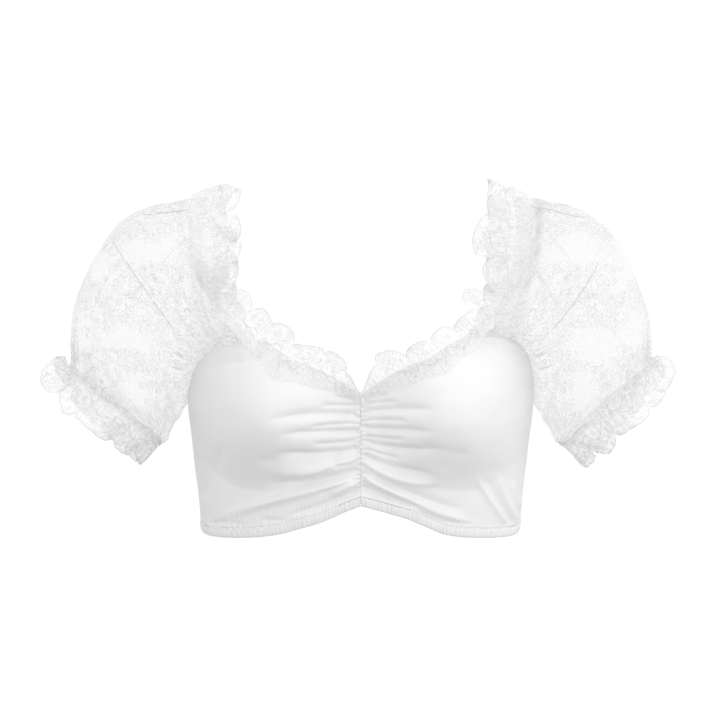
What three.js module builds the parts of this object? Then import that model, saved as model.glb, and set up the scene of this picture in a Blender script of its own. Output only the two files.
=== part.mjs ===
// A cropped dirndl blouse, hollow and in the shape it has when worn.
// Two satin fronts with moulded cups are ruched onto a centre seam, the back is plain and low,
// the short puffed sleeves are lace, and a gathered lace frill runs round the whole neckline.
// Millimetres. +X is the viewer's right, the front faces -Y and +Z is up.
// The origin is midway between the tops of the two shoulders.
import * as THREE from 'three';

// Driving sizes
const CLOTH = 1.5; // wall of satin and of sleeve lace
const FRILL_WALL = 1.0; // wall of the frill lace
const SEAM = 0.4; // space left between two pieces that are sewn together
const HEM_HEIGHT = 8; // elastic casing under the fronts and the back
const CASING_PROUD = 0.8; // how far a casing stands out beyond the cloth it ends
const CASING_DEPTH = 2.8; // a casing from its outside to its inside
const CUFF_HEIGHT = 6;
const FOOT = 14; // depth of the neck elastic, which the foot of the frill covers
const CENTRE_FOOT = 7; // the same at the point of the neckline
const FOOT_LIFT = 2.2; // outside of that foot above the cloth under it
const ROUNDNESS = 2.4; // exponent of the body's section: 2 is an ellipse
const FRONT_CORNER = 55; // degrees from centre front to where sleeve, front and neckline meet
const BACK_CORNER = 128; // the same corner on the back

// Half width, and depth to front and to back, of the cloth at each height
const bodySections = [
  { z: -300, halfWidth: 139, front: 84, back: 86 },
  { z: -280, halfWidth: 140.5, front: 86, back: 88 },
  { z: -250, halfWidth: 144, front: 89, back: 91 },
  { z: -220, halfWidth: 147.5, front: 93, back: 94 },
  { z: -190, halfWidth: 151, front: 97, back: 96 },
  { z: -165, halfWidth: 152, front: 98, back: 96 },
  { z: -140, halfWidth: 151, front: 96, back: 94 },
  { z: -110, halfWidth: 148, front: 90, back: 90 },
];

// Lower edge of the blouse, and its upper edge on the fronts (at the viewer's left and right, where they
// differ) and on the back, by angle from centre front
const hemLine = [
  { angle: 0, z: -266 },
  { angle: 17, z: -276.5 },
  { angle: 36, z: -288 },
  { angle: 52, z: -295 },
  { angle: 66, z: -298.5 },
  { angle: 78, z: -297 },
  { angle: 90, z: -292 },
  { angle: 112, z: -288 },
  { angle: 145, z: -281 },
  { angle: 180, z: -275 },
];
const frontTopLine = [
  { angle: 0, left: -174.5, right: -174.5 },
  { angle: 7, left: -166, right: -166 },
  { angle: 18, left: -155, right: -154 },
  { angle: 33, left: -143, right: -142 },
  { angle: 45, left: -128, right: -127 },
  { angle: 55, left: -114, right: -113 },
  { angle: 60, left: -123, right: -117.5 },
  { angle: 66, left: -134, right: -123 },
  { angle: 72, left: -147, right: -131 },
  { angle: 80, left: -166, right: -149 },
  { angle: 90, left: -183, right: -183 },
];
const backTopLine = [
  { angle: 90, left: -183, right: -183 },
  { angle: 100, left: -179, right: -179 },
  { angle: 112, left: -171, right: -171 },
  { angle: 128, left: -163, right: -163 },
  { angle: 138, left: -180, right: -180 },
  { angle: 152, left: -198, right: -198 },
  { angle: 166, left: -208, right: -208 },
  { angle: 180, left: -211, right: -211 },
];

// Moulded cup: one dome a side, with its own reach on each of its four sides
const cup = { x: 86, z: -198, inner: 74, outer: 62, upper: 78, lower: 60, rise: 33, fullness: 1.5 };

// The largest folds of the ruching, one row each, on the viewer's left (side -1) and right (side 1).
// start is the height at the centre seam and end the height where the fold dies out, reach its length across,
// sag how far it hangs below a straight line, rise its height (a trough is negative) and half its half width.
const ruching = [
  { side: -1, start: -193, end: -198, reach: 84, sag: -5, rise: -3.2, half: 4 },
  { side: -1, start: -206, end: -209, reach: 74, sag: -1, rise: -3.0, half: 3.6 },
  { side: -1, start: -220, end: -224, reach: 80, sag: 4, rise: -3.4, half: 4 },
  { side: -1, start: -229, end: -238, reach: 88, sag: 5, rise: 2.6, half: 5.5 },
  { side: -1, start: -238, end: -249, reach: 84, sag: 5, rise: -3.0, half: 4 },
  { side: -1, start: -248, end: -283, reach: 128, sag: -3, rise: 3.0, half: 4.5 },
  { side: -1, start: -255, end: -280, reach: 70, sag: 2, rise: -2.4, half: 3.4 },
  { side: 1, start: -190, end: -188, reach: 66, sag: -3, rise: -2.8, half: 3.8 },
  { side: 1, start: -203, end: -206, reach: 66, sag: 0, rise: -2.8, half: 3.8 },
  { side: 1, start: -213, end: -220, reach: 74, sag: 5, rise: -3.2, half: 4 },
  { side: 1, start: -225, end: -241, reach: 70, sag: 5, rise: -3.2, half: 4 },
  { side: 1, start: -233, end: -246, reach: 78, sag: 9, rise: 2.8, half: 5 },
  { side: 1, start: -234, end: -274, reach: 96, sag: 7, rise: -3.0, half: 4 },
  { side: 1, start: -244, end: -288, reach: 106, sag: 4, rise: 2.6, half: 4.5 },
  { side: 1, start: -252, end: -274, reach: 64, sag: 2, rise: -2.6, half: 3.4 },
];
const CENTRE_PULL = 3.5; // how far the centre seam is drawn in
const CENTRE_PULL_HALF = 7;

// Free neck edge of a sleeve, by turn round the sleeve: 0 on top, to the front positive, to the back negative
const neckEdge = [
  { turn: -64, x: 134, y: 71, z: -113 },
  { turn: -48, x: 141, y: 63, z: -86 },
  { turn: -33, x: 142, y: 50, z: -55 },
  { turn: -16, x: 139, y: 30, z: -25 },
  { turn: 0, x: 134.5, y: 6, z: -1 },
  { turn: 15, x: 135.5, y: -14, z: -13 },
  { turn: 30, x: 135, y: -32, z: -34 },
  { turn: 45, x: 132.5, y: -47, z: -58 },
  { turn: 58, x: 127, y: -61, z: -82 },
  { turn: 69, x: 117, y: -72, z: -100 },
];
const FRONT_TURN = 78; // where the neck edge of the sleeve ends and its seam with the front begins
const BACK_TURN = -80;

// Sections down the sleeve: its highest point, its point under the arm, and its half depth front to back
const sleeveSections = [
  { down: 0.2, topX: 176, topZ: -6.5, underX: 157, underZ: -190, middleY: 0, halfDepth: 73 },
  { down: 0.4, topX: 210, topZ: -22.5, underX: 161, underZ: -197, middleY: -2, halfDepth: 71 },
  { down: 0.6, topX: 236, topZ: -57, underX: 165, underZ: -204, middleY: -4, halfDepth: 67 },
  { down: 0.8, topX: 251, topZ: -101, underX: 170, underZ: -211.5, middleY: -6, halfDepth: 61 },
  { down: 1, topX: 253, topZ: -149, underX: 175, underZ: -218, middleY: -8, halfDepth: 51 },
];
const CUFF_GATHERS = 12;
const GATHER_RISE = 2.2;

// Frill waves counted along the neckline from centre front, on the viewer's left and right
const neckWaves = [
  { at: 0, left: 0, right: 0 },
  { at: 60, left: 2.2, right: 2 },
  { at: 128, left: 5, right: 4.6 },
  { at: 200, left: 7.6, right: 7.4 },
  { at: 275, left: 10.3, right: 10.2 },
  { at: 400, left: 14.3, right: 14.1 },
  { at: 590, left: 20, right: 19.8 },
];
const neckFrill = { free: 25, frontFree: 14.5, rise: 5, scallop: 3, lean: 0.3, perWave: 6 };
const cuffFrill = { free: 22, innerFree: 15, rise: 4.6, scallop: 3, waves: 12, perWave: 6, flare: 46, innerFlare: -14 };

const satin = new THREE.MeshStandardMaterial({ color: 0xeceef0, roughness: 0.45, metalness: 0 });
const sleeveLace = new THREE.MeshStandardMaterial({ color: 0xf4f4f4, roughness: 0.8, metalness: 0 });
const frillLace = new THREE.MeshStandardMaterial({ color: 0xf1f2ef, roughness: 0.8, metalness: 0 });

const radians = THREE.MathUtils.degToRad;
const lerp = THREE.MathUtils.lerp;
const ease = (from, to, at) => THREE.MathUtils.smoothstep(at, from, to);

// A smooth curve through one column of a table: cubic pieces that share the slope of their neighbours.
function along(rows, key, at, column) {
  const last = rows.length - 1;
  const place = THREE.MathUtils.clamp(at, rows[0][key], rows[last][key]);
  let i = 0;
  while (i < last - 1 && place > rows[i + 1][key]) i++;
  const slope = (k) => {
    const before = rows[Math.max(k - 1, 0)];
    const after = rows[Math.min(k + 1, last)];
    return (after[column] - before[column]) / (after[key] - before[key]);
  };
  const step = rows[i + 1][key] - rows[i][key];
  const s = (place - rows[i][key]) / step;
  const a = rows[i][column];
  const b = rows[i + 1][column];
  return (
    a * (1 + 2 * s) * (1 - s) ** 2 + b * (3 - 2 * s) * s ** 2 +
    step * (slope(i) * s * (1 - s) ** 2 - slope(i + 1) * (1 - s) * s ** 2)
  );
}

const pointAlong = (rows, key, at) => new THREE.Vector3(...['x', 'y', 'z'].map((c) => along(rows, key, at, c)));

// Evenly spaced numbers from one value to another, both ends included.
const spaced = (from, to, steps) => Array.from({ length: steps + 1 }, (_, i) => lerp(from, to, i / steps));

// The form of the body of the blouse

const cupRise = (x, z) => {
  const across = (Math.abs(x) - cup.x) / (Math.abs(x) > cup.x ? cup.outer : cup.inner);
  const upwards = (z - cup.z) / (z > cup.z ? cup.upper : cup.lower);
  return cup.rise * Math.max(0, 1 - across ** 2 - upwards ** 2) ** cup.fullness;
};

// The body's outside at an angle from centre front (degrees, positive towards +X) and a height.
function bodyPoint(angle, z) {
  const turned = radians(angle);
  const isFront = Math.cos(turned) > 0;
  const halfWidth = along(bodySections, 'z', z, 'halfWidth');
  const depth = along(bodySections, 'z', z, isFront ? 'front' : 'back');
  const reach =
    (Math.abs(Math.sin(turned) / halfWidth) ** ROUNDNESS +
      Math.abs(Math.cos(turned) / depth) ** ROUNDNESS) ** (-1 / ROUNDNESS);
  const x = reach * Math.sin(turned);
  const y = -reach * Math.cos(turned);
  return new THREE.Vector3(x, isFront ? y - cupRise(x, z) : y, z);
}

// The same surface as a depth over the drawing of front or back.
function bodyDepth(x, z, isFront) {
  const halfWidth = along(bodySections, 'z', z, 'halfWidth');
  const depth = along(bodySections, 'z', z, isFront ? 'front' : 'back');
  const share = Math.min(Math.abs(x) / halfWidth, 1);
  const y = depth * (1 - share ** ROUNDNESS) ** (1 / ROUNDNESS);
  return isFront ? -y - cupRise(x, z) : y;
}

// Outward direction, level with the ground, of the body's section.
function bodyOutward(angle, z) {
  const step = 0.5;
  const run = bodyPoint(angle + step, z).sub(bodyPoint(angle - step, z));
  return new THREE.Vector3(-run.y, run.x, 0).normalize().negate();
}

const hemZ = (angle) => along(hemLine, 'angle', Math.abs(angle), 'z');
const word = (side) => (side < 0 ? 'left' : 'right');
const topZ = (angle, side) => along(angle <= 90 ? frontTopLine : backTopLine, 'angle', angle, word(side));

// Height of the ruching's folds over the smooth cup, at a place on the front.
function foldRise(x, z, side) {
  const out = Math.abs(x);
  let rise = 0;
  for (const fold of ruching) {
    if (fold.side !== side || out > fold.reach) continue;
    const share = out / fold.reach;
    const ridge = lerp(fold.start, fold.end, share) - fold.sag * 4 * share * (1 - share);
    const fade = ease(0, 0.08, share) * (1 - ease(0.6, 1, share));
    rise += fold.rise * fade * Math.exp(-(((z - ridge) / fold.half) ** 2));
  }
  return rise - CENTRE_PULL * Math.exp(-((out / CENTRE_PULL_HALF) ** 2));
}

// Solids made of two grids of points, an outside and an inside

// The free edge of a frill: round lobes with a narrow notch between two of them, from -1 to 1.
const lobe = (phase) => 2 * Math.sqrt(Math.abs(Math.cos(phase / 2))) - 1;

// Closes the space between two grids. Columns may run right round, and then they join up.
function wallGeometry(outside, inside, isRound) {
  const columns = outside.length;
  const rows = outside[0].length;
  const positions = [...outside.flat(), ...inside.flat()].flatMap((p) => [p.x, p.y, p.z]);
  const index = [];
  const at = (layer, i, j) => layer * columns * rows + (i % columns) * rows + j;
  const quad = (a, b, c, d) => index.push(a, b, c, a, c, d);
  const spans = isRound ? columns : columns - 1;
  for (let i = 0; i < spans; i++) {
    for (let j = 0; j < rows - 1; j++) {
      quad(at(0, i, j), at(0, i + 1, j), at(0, i + 1, j + 1), at(0, i, j + 1));
      quad(at(1, i, j), at(1, i, j + 1), at(1, i + 1, j + 1), at(1, i + 1, j));
    }
    quad(at(0, i + 1, 0), at(0, i, 0), at(1, i, 0), at(1, i + 1, 0));
    quad(at(0, i, rows - 1), at(0, i + 1, rows - 1), at(1, i + 1, rows - 1), at(1, i, rows - 1));
  }
  if (!isRound) {
    for (let j = 0; j < rows - 1; j++) {
      quad(at(0, 0, j), at(0, 0, j + 1), at(1, 0, j + 1), at(1, 0, j));
      quad(at(0, spans, j + 1), at(0, spans, j), at(1, spans, j), at(1, spans, j + 1));
    }
  }
  return facingOut(positions, index);
}

// Turns every face round if the solid came out inside out.
function facingOut(positions, index) {
  const corner = (k) => new THREE.Vector3().fromArray(positions, index[k] * 3);
  let volume = 0;
  for (let k = 0; k < index.length; k += 3) {
    volume += corner(k).dot(corner(k + 1).cross(corner(k + 2)));
  }
  if (volume < 0) index.reverse();
  const geometry = new THREE.BufferGeometry();
  geometry.setAttribute('position', new THREE.Float32BufferAttribute(positions, 3));
  geometry.setIndex(index);
  geometry.computeVertexNormals();
  return geometry;
}

// Normals of a grid of points. facing is 1 or -1 and says which side is the outside.
function gridNormals(grid, facing, isRound) {
  const columns = grid.length;
  const rows = grid[0].length;
  const column = (i) => (isRound ? (i + columns) % columns : THREE.MathUtils.clamp(i, 0, columns - 1));
  const row = (j) => THREE.MathUtils.clamp(j, 0, rows - 1);
  return grid.map((points, i) =>
    points.map((_, j) => {
      const acrossRun = grid[column(i + 1)][j].clone().sub(grid[column(i - 1)][j]);
      const downRun = grid[i][row(j + 1)].clone().sub(grid[i][row(j - 1)]);
      return acrossRun.cross(downRun).normalize().multiplyScalar(facing);
    }),
  );
}

const moved = (grid, directions, distance) =>
  grid.map((points, i) => points.map((p, j) => p.clone().addScaledVector(directions[i][j], -distance)));

const mesh = (name, geometry, material) => {
  const made = new THREE.Mesh(geometry, material);
  made.name = name;
  return made;
};

// Fronts and back

function frontPanel(side, name) {
  const angles = [...spaced(0, FRONT_CORNER, 9), ...spaced(FRONT_CORNER, 90, 7).slice(1)];
  const rows = 24;
  const smooth = angles.map((angle) => {
    const low = hemZ(angle) + HEM_HEIGHT + SEAM;
    const high = topZ(angle, side) - SEAM / 2;
    return spaced(low, high, rows).map((z) => {
      const p = bodyPoint(side * angle, z);
      p.x = side * Math.max(Math.abs(p.x), SEAM / 2);
      p.y = Math.min(p.y, -SEAM / 2);
      return p;
    });
  });
  const outward = gridNormals(smooth, side, false);
  outward[0].forEach((n) => n.setX(0).normalize());
  outward.at(-1).forEach((n) => n.setY(0).normalize());
  const outside = smooth.map((points, i) =>
    points.map((p, j) => {
      const edge = ease(0, 5, p.z - points[0].z) * ease(0, 12, points[rows].z - p.z);
      return p.clone().addScaledVector(outward[i][j], foldRise(p.x, p.z, side) * edge);
    }),
  );
  return mesh(name, wallGeometry(outside, moved(outside, outward, CLOTH), false), satin);
}

function backPanel(name) {
  const halfAngles = [...spaced(90, BACK_CORNER, 6), ...spaced(BACK_CORNER, 180, 8).slice(1)];
  const angles = [...halfAngles, ...halfAngles.slice(0, -1).reverse().map((angle) => 360 - angle)];
  const outside = angles.map((angle) => {
    const fromFront = angle > 180 ? 360 - angle : angle;
    const low = hemZ(fromFront) + HEM_HEIGHT + SEAM;
    return spaced(low, topZ(fromFront, 1) - SEAM / 2, 6).map((z) => {
      const p = bodyPoint(angle, z);
      p.y = Math.max(p.y, SEAM / 2);
      return p;
    });
  });
  const outward = gridNormals(outside, 1, false);
  [outward[0], outward.at(-1)].forEach((edge) => edge.forEach((n) => n.setY(0).normalize()));
  return mesh(name, wallGeometry(outside, moved(outside, outward, CLOTH), false), satin);
}

// A stretch of the hem's elastic casing between two angles, with its small puckers.
function hemCasing(from, to, puckers, name) {
  const perPucker = 3;
  const columns = spaced(from, to, puckers * perPucker);
  const section = columns.map((angle, i) => {
    const fromFront = Math.abs(angle > 180 ? 360 - angle : angle);
    const low = hemZ(fromFront);
    const pucker = 0.5 * Math.cos((2 * Math.PI * i) / perPucker);
    const outward = bodyOutward(angle, low);
    const at = (z, out) => {
      const p = bodyPoint(angle, z).addScaledVector(outward, out);
      if (i === 0 || i === columns.length - 1) keepOffSeam(p, angle, from, to);
      return p;
    };
    const proud = CASING_PROUD + pucker;
    return {
      outside: [at(low, proud - 0.6), at(low + HEM_HEIGHT / 2, proud), at(low + HEM_HEIGHT, proud - 0.6)],
      inside: [low, low + HEM_HEIGHT / 2, low + HEM_HEIGHT].map((z) => at(z, CASING_PROUD - CASING_DEPTH)),
    };
  });
  return mesh(
    name,
    wallGeometry(section.map((s) => s.outside), section.map((s) => s.inside), false),
    satin,
  );
}

// Holds the end of a hem casing half a seam away from centre front or from the side seam.
function keepOffSeam(p, angle, from, to) {
  if (Math.abs(angle) < 1) p.x = (Math.sign(from + to) * SEAM) / 2;
  else p.y = (Math.abs(from + to) > 180 ? 1 : -1) * (SEAM / 2);
}

// Sleeves

// Angle round the body at which the sleeve, turned so far, is sewn to the front or the back.
const seamAngle = (turn) =>
  turn > 0
    ? lerp(FRONT_CORNER, 90, (turn - FRONT_TURN) / (180 - FRONT_TURN))
    : lerp(BACK_CORNER, 90, (BACK_TURN - turn) / (180 + BACK_TURN));
const isSewn = (turn) => turn >= FRONT_TURN || turn <= BACK_TURN;
const bodyEdge = (angle, side) => bodyPoint(angle, topZ(angle, side));

// The seam and neck edge that a sleeve starts from, by turn round the sleeve, drawn on the +X side.
function sleeveRoot(turn, side) {
  if (isSewn(turn)) return bodyEdge(seamAngle(turn), side);
  const back = { turn: BACK_TURN, ...bodyEdge(BACK_CORNER, side) };
  const front = { turn: FRONT_TURN, ...bodyEdge(FRONT_CORNER, side) };
  return pointAlong([back, ...neckEdge, front], 'turn', turn);
}

// One ring of the sleeve: an ellipse through the highest point and the point under the arm.
function sleeveRing(turn, s) {
  const c = Math.cos(radians(turn));
  return new THREE.Vector3(
    (s.topX + s.underX) / 2 + (c * (s.topX - s.underX)) / 2,
    s.middleY - Math.sin(radians(turn)) * s.halfDepth,
    (s.topZ + s.underZ) / 2 + (c * (s.topZ - s.underZ)) / 2,
  );
}

// The smooth sleeve, drawn on the +X side, from its root (down 0) to its cuff (down 1).
function sleevePoint(turn, down, side) {
  const rings = sleeveSections.map((s) => ({ down: s.down, ...sleeveRing(turn, s) }));
  return pointAlong([{ down: 0, ...sleeveRoot(turn, side) }, ...rings], 'down', down);
}

const mirror = (grid, side) => grid.map((points) => points.map((p) => p.clone().setX(p.x * side)));

function sleeve(side, name) {
  const turns = [
    ...spaced(-180, BACK_TURN, 12),
    ...spaced(BACK_TURN, FRONT_TURN, 24).slice(1),
    ...spaced(FRONT_TURN, 180, 12).slice(1, -1),
  ];
  const downs = spaced(0, 1, 10);
  const smooth = turns.map((turn) => {
    const length = sleevePoint(turn, 0.1, side).distanceTo(sleevePoint(turn, 0, side)) * 10;
    const start = isSewn(turn) ? SEAM / length : 0;
    return downs.map((down) => sleevePoint(turn, start + down * (1 - start), side));
  });
  const outward = gridNormals(smooth, 1, true);
  turns.forEach((turn, i) => {
    const angle = seamAngle(turn);
    if (isSewn(turn)) outward[i][0] = bodyOutward(angle, topZ(angle, side));
  });
  const outside = smooth.map((points, i) =>
    points.map((p, j) => {
      const gather = ease(0.66, 0.9, downs[j]) * (1 - 0.7 * ease(0.9, 1, downs[j]));
      const wave = Math.cos((2 * Math.PI * CUFF_GATHERS * i) / turns.length);
      return p.clone().addScaledVector(outward[i][j], GATHER_RISE * gather * wave);
    }),
  );
  const inside = moved(outside, outward, CLOTH);
  return mesh(name, wallGeometry(mirror(outside, side), mirror(inside, side), true), sleeveLace);
}

// The cuff's own directions: out along its ring's long axis, to the front, and down the arm.
const cuff = (() => {
  const last = sleeveSections.at(-1);
  const top = new THREE.Vector3(last.topX, last.middleY, last.topZ);
  const under = new THREE.Vector3(last.underX, last.middleY, last.underZ);
  const out = top.clone().sub(under).normalize();
  return {
    centre: top.clone().add(under).multiplyScalar(0.5),
    halfLength: top.distanceTo(under) / 2,
    halfDepth: last.halfDepth,
    out,
    down: new THREE.Vector3(out.z, 0, -out.x),
  };
})();

// A point round the cuff, some way out from its ring and some way down the arm.
function cuffPoint(turn, out, down) {
  const angle = radians(turn);
  return cuff.centre
    .clone()
    .addScaledVector(cuff.out, Math.cos(angle) * (cuff.halfLength + out))
    .addScaledVector(new THREE.Vector3(0, -1, 0), Math.sin(angle) * (cuff.halfDepth + out))
    .addScaledVector(cuff.down, down);
}

function cuffBand(side, name) {
  const perPucker = 3;
  const turns = spaced(0, 360, CUFF_GATHERS * perPucker).slice(0, -1);
  const levels = [SEAM, SEAM + CUFF_HEIGHT / 2, SEAM + CUFF_HEIGHT];
  const outside = turns.map((turn, i) => {
    const pucker = 0.45 * Math.cos((2 * Math.PI * i) / perPucker);
    return levels.map((down, j) => cuffPoint(turn, CASING_PROUD + pucker - (j === 1 ? 0 : 0.5), down));
  });
  const inside = turns.map((turn) => levels.map((down) => cuffPoint(turn, CASING_PROUD - CASING_DEPTH, down)));
  return mesh(name, wallGeometry(mirror(outside, side), mirror(inside, side), true), sleeveLace);
}

function cuffRuffle(side, name) {
  const { free, innerFree, rise, scallop, waves, perWave, flare, innerFlare } = cuffFrill;
  const turns = spaced(0, 360, waves * perWave).slice(0, -1);
  const start = CUFF_HEIGHT + 2 * SEAM;
  const outside = turns.map((turn, i) => {
    const phase = (2 * Math.PI * i) / perWave + (side > 0 ? 0.9 : 0);
    const outer = (1 + Math.cos(radians(turn))) / 2;
    const spread = radians(lerp(innerFlare, flare, outer));
    return [0, 0.35, 0.7, 1].map((share) => {
      const length = share * (lerp(innerFree, free, outer) + scallop * lobe(phase));
      const swing = rise * ease(0, 1, share) * Math.cos(phase);
      return cuffPoint(turn, length * Math.sin(spread) + swing, start + length * Math.cos(spread));
    });
  });
  const outward = gridNormals(outside, 1, true);
  turns.forEach((turn, i) => outward[i][0].subVectors(cuffPoint(turn, 1, 0), cuffPoint(turn, 0, 0)));
  return mesh(
    name,
    wallGeometry(mirror(outside, side), mirror(moved(outside, outward, FRILL_WALL), side), true),
    frillLace,
  );
}

// The frill round the neckline

// Edge of the cloth and the line of gathering stitches below it, from centre front to centre back.
function neckline(side) {
  const onBody = (angle) => {
    const edge = bodyEdge(angle, side);
    const step = angle > 90 ? -1 : 1;
    const near = bodyEdge(Math.max(angle - 0.5, 0), side);
    const far = bodyEdge(Math.min(angle + 0.5, 180), side);
    const slope = new THREE.Vector2(far.x - near.x, far.z - near.z).normalize().multiplyScalar(step);
    const lean = ease(0, 26, edge.x);
    const away = new THREE.Vector2(slope.y * lean, -Math.max(slope.x, 0.2)).normalize();
    const foot = lerp(CENTRE_FOOT, FOOT, ease(0, 45, edge.x));
    const x = edge.x + foot * away.x;
    const z = edge.z + foot * away.y;
    return { edge, gather: new THREE.Vector3(x, bodyDepth(x, z, angle < 90), z) };
  };
  const onSleeve = (turn) => {
    const edge = sleevePoint(turn, 0, side);
    const share = (FOOT / edge.distanceTo(sleevePoint(turn, 0.1, side))) * 0.1;
    return { edge, gather: sleevePoint(turn, share, side) };
  };
  return [
    ...spaced(0.1, FRONT_CORNER - 1, 40).map(onBody),
    ...spaced(FRONT_TURN - 3, BACK_TURN + 3, 120).map(onSleeve),
    ...spaced(BACK_CORNER + 1, 179.9, 50).map(onBody),
  ];
}

// The neckline again in even steps, with the frill's own directions smoothed along it.
function frillRail(steps, side) {
  const line = neckline(side);
  const far = [0];
  for (let i = 1; i < line.length; i++) far.push(far[i - 1] + line[i].edge.distanceTo(line[i - 1].edge));
  const even = spaced(0, far.at(-1), steps).map((at) => {
    const k = Math.max(1, far.findIndex((f) => f >= at - 1e-9));
    const share = (at - far[k - 1]) / (far[k] - far[k - 1]);
    return {
      at,
      edge: line[k - 1].edge.clone().lerp(line[k].edge, share),
      gather: line[k - 1].gather.clone().lerp(line[k].gather, share),
    };
  });
  const around = Math.round((10 * steps) / far.at(-1));
  return even.map((here, i) => {
    const foot = new THREE.Vector3();
    for (let k = i - around; k <= i + around; k++) {
      const other = even[THREE.MathUtils.clamp(k, 0, steps)];
      foot.add(other.edge).sub(other.gather);
    }
    const up = foot.normalize();
    const next = even[Math.min(i + around, steps)].edge.clone().sub(even[Math.max(i - around, 0)].edge);
    const out = up.clone().cross(next).normalize().negate();
    const run = out.clone().cross(up).negate();
    return { ...here, up, out, run, length: far.at(-1) };
  });
}

function neckRuffle(side, name) {
  const { free, frontFree, rise, scallop, lean, perWave } = neckFrill;
  const rail = frillRail(Math.round(neckWaves.at(-1)[word(side)] * perWave), side);
  const outside = rail.map(({ at, edge, gather, up, out, length }) => {
    const phase = 2 * Math.PI * along(neckWaves, 'at', at, word(side));
    const ends = ease(0, 34, at) * ease(-6, 12, length - at);
    const width = lerp(frontFree, free, ease(90, 150, at));
    const deep = width * lerp(0.12, 1, ends) + scallop * ends * lobe(phase);
    const lift = (p, extra) => p.clone().addScaledVector(out, FOOT_LIFT + extra);
    const points = [lift(gather, 0), lift(edge, 0)];
    for (const share of [0.45, 1]) {
      const p = edge.clone().addScaledVector(up, deep * share);
      points.push(lift(p, deep * share * lean + rise * ends * share * Math.cos(phase)));
    }
    points.forEach((p) => p.setX(Math.max(p.x, SEAM / 2)));
    return points;
  });
  const outward = gridNormals(outside, 1, false);
  [outward[0], outward.at(-1)].forEach((edge) => edge.forEach((n) => n.setX(0).normalize()));
  return mesh(
    name,
    wallGeometry(mirror(outside, side), mirror(moved(outside, outward, FRILL_WALL), side), false),
    frillLace,
  );
}

const blouse = new THREE.Group();
for (const side of [-1, 1]) {
  blouse.add(
    frontPanel(side, `front_${word(side)}`),
    hemCasing(0, side * 90, 20, `hem_casing_front_${word(side)}`),
    sleeve(side, `sleeve_${word(side)}`),
    cuffBand(side, `cuff_elastic_${word(side)}`),
    cuffRuffle(side, `cuff_frill_${word(side)}`),
    neckRuffle(side, `neck_frill_${word(side)}`),
  );
}
blouse.add(backPanel('back'), hemCasing(90, 270, 26, 'hem_casing_back'));

export default blouse;
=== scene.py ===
# %% [markdown]
# A white dirndl blouse, filled out as when worn but hollow. It is sewn from opaque satin fronts with
# moulded cups, a plain satin back, sheer lace sleeves, narrow elastic bands and gathered lace frills.
# The frame holds the pieces at their real place and size, one plain wall for each piece. Each wall is
# replaced here by a finer surface of the same form, so the first step is to load that frame.

# %% Load the frame
import bpy
import numpy as np
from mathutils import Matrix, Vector


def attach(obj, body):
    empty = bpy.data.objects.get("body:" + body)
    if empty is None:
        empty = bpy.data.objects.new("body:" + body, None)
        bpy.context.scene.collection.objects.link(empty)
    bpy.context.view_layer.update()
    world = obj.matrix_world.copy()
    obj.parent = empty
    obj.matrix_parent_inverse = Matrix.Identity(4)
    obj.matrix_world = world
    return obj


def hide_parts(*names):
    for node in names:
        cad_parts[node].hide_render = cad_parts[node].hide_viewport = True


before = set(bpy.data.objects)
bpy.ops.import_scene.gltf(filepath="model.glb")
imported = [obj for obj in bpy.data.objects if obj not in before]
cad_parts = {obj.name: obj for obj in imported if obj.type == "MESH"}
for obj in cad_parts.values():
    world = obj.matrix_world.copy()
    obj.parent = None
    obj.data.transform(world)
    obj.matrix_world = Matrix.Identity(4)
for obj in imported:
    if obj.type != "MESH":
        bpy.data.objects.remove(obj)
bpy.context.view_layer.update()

print("frame nodes:", len(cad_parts))

# %% [markdown]
# All sizes below are millimetres on the real blouse, and they become metres only when a mesh is made.
# Cloth has no straight lines, so nearly everything runs along smooth curves through short tables.
# A spline object in Blender could do that, but a small function on whole arrays is quicker, and it can
# be asked for thousands of places at once.

# %% Smooth curves through tables
MM = 0.001


def ease(low, high, at):
    """0 below low, 1 above high, and between them 3 s squared minus 2 s cubed."""
    s = np.clip((np.asarray(at, float) - low) / (high - low), 0, 1)
    return s * s * (3 - 2 * s)


def lerp(a, b, share):
    """a plus that share of the way to b."""
    return a + (b - a) * share


def bell(at, middle, half):
    """e to minus the square of the distance from the middle in half widths: 1 there, nearly 0 far off."""
    return np.exp(-(((at - middle) / half) ** 2))


def along(keys, values, at):
    """Cubic pieces through a table, each sharing the slope of the line between its neighbours."""
    keys, values, at = (np.asarray(a, float) for a in (keys, values, at))
    last = len(keys) - 1
    before = np.maximum(np.arange(last + 1) - 1, 0)
    after = np.minimum(np.arange(last + 1) + 1, last)
    flat = (1,) * (values.ndim - 1)
    slope = (values[after] - values[before]) / (keys[after] - keys[before]).reshape((-1,) + flat)
    at = np.clip(at, keys[0], keys[last])
    i = np.clip(np.searchsorted(keys, at) - 1, 0, last - 1)
    step = (keys[i + 1] - keys[i]).reshape(at.shape + flat)
    s = (at - keys[i]).reshape(at.shape + flat) / step
    ends = values[i] * (1 + 2 * s) * (1 - s) ** 2 + values[i + 1] * (3 - 2 * s) * s**2
    return ends + step * (slope[i] * s * (1 - s) ** 2 - slope[i + 1] * (1 - s) * s**2)


def unit(v):
    """Vectors of length 1."""
    return v / np.maximum(np.linalg.norm(v, axis=-1, keepdims=True), 1e-9)


print("halfway up a table of 0, 1, 4:", float(along([0, 1, 2], [0, 1, 4], 1.5)))

# %% [markdown]
# Cloth is never even. Two kinds of unevenness come back on each piece: slow swells over a whole panel,
# and the small round pleats that elastic makes. Random numbers would change from run to run, so both
# come from sums of waves whose directions are drawn once from a seeded generator.

# %% Swells and gathers


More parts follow.
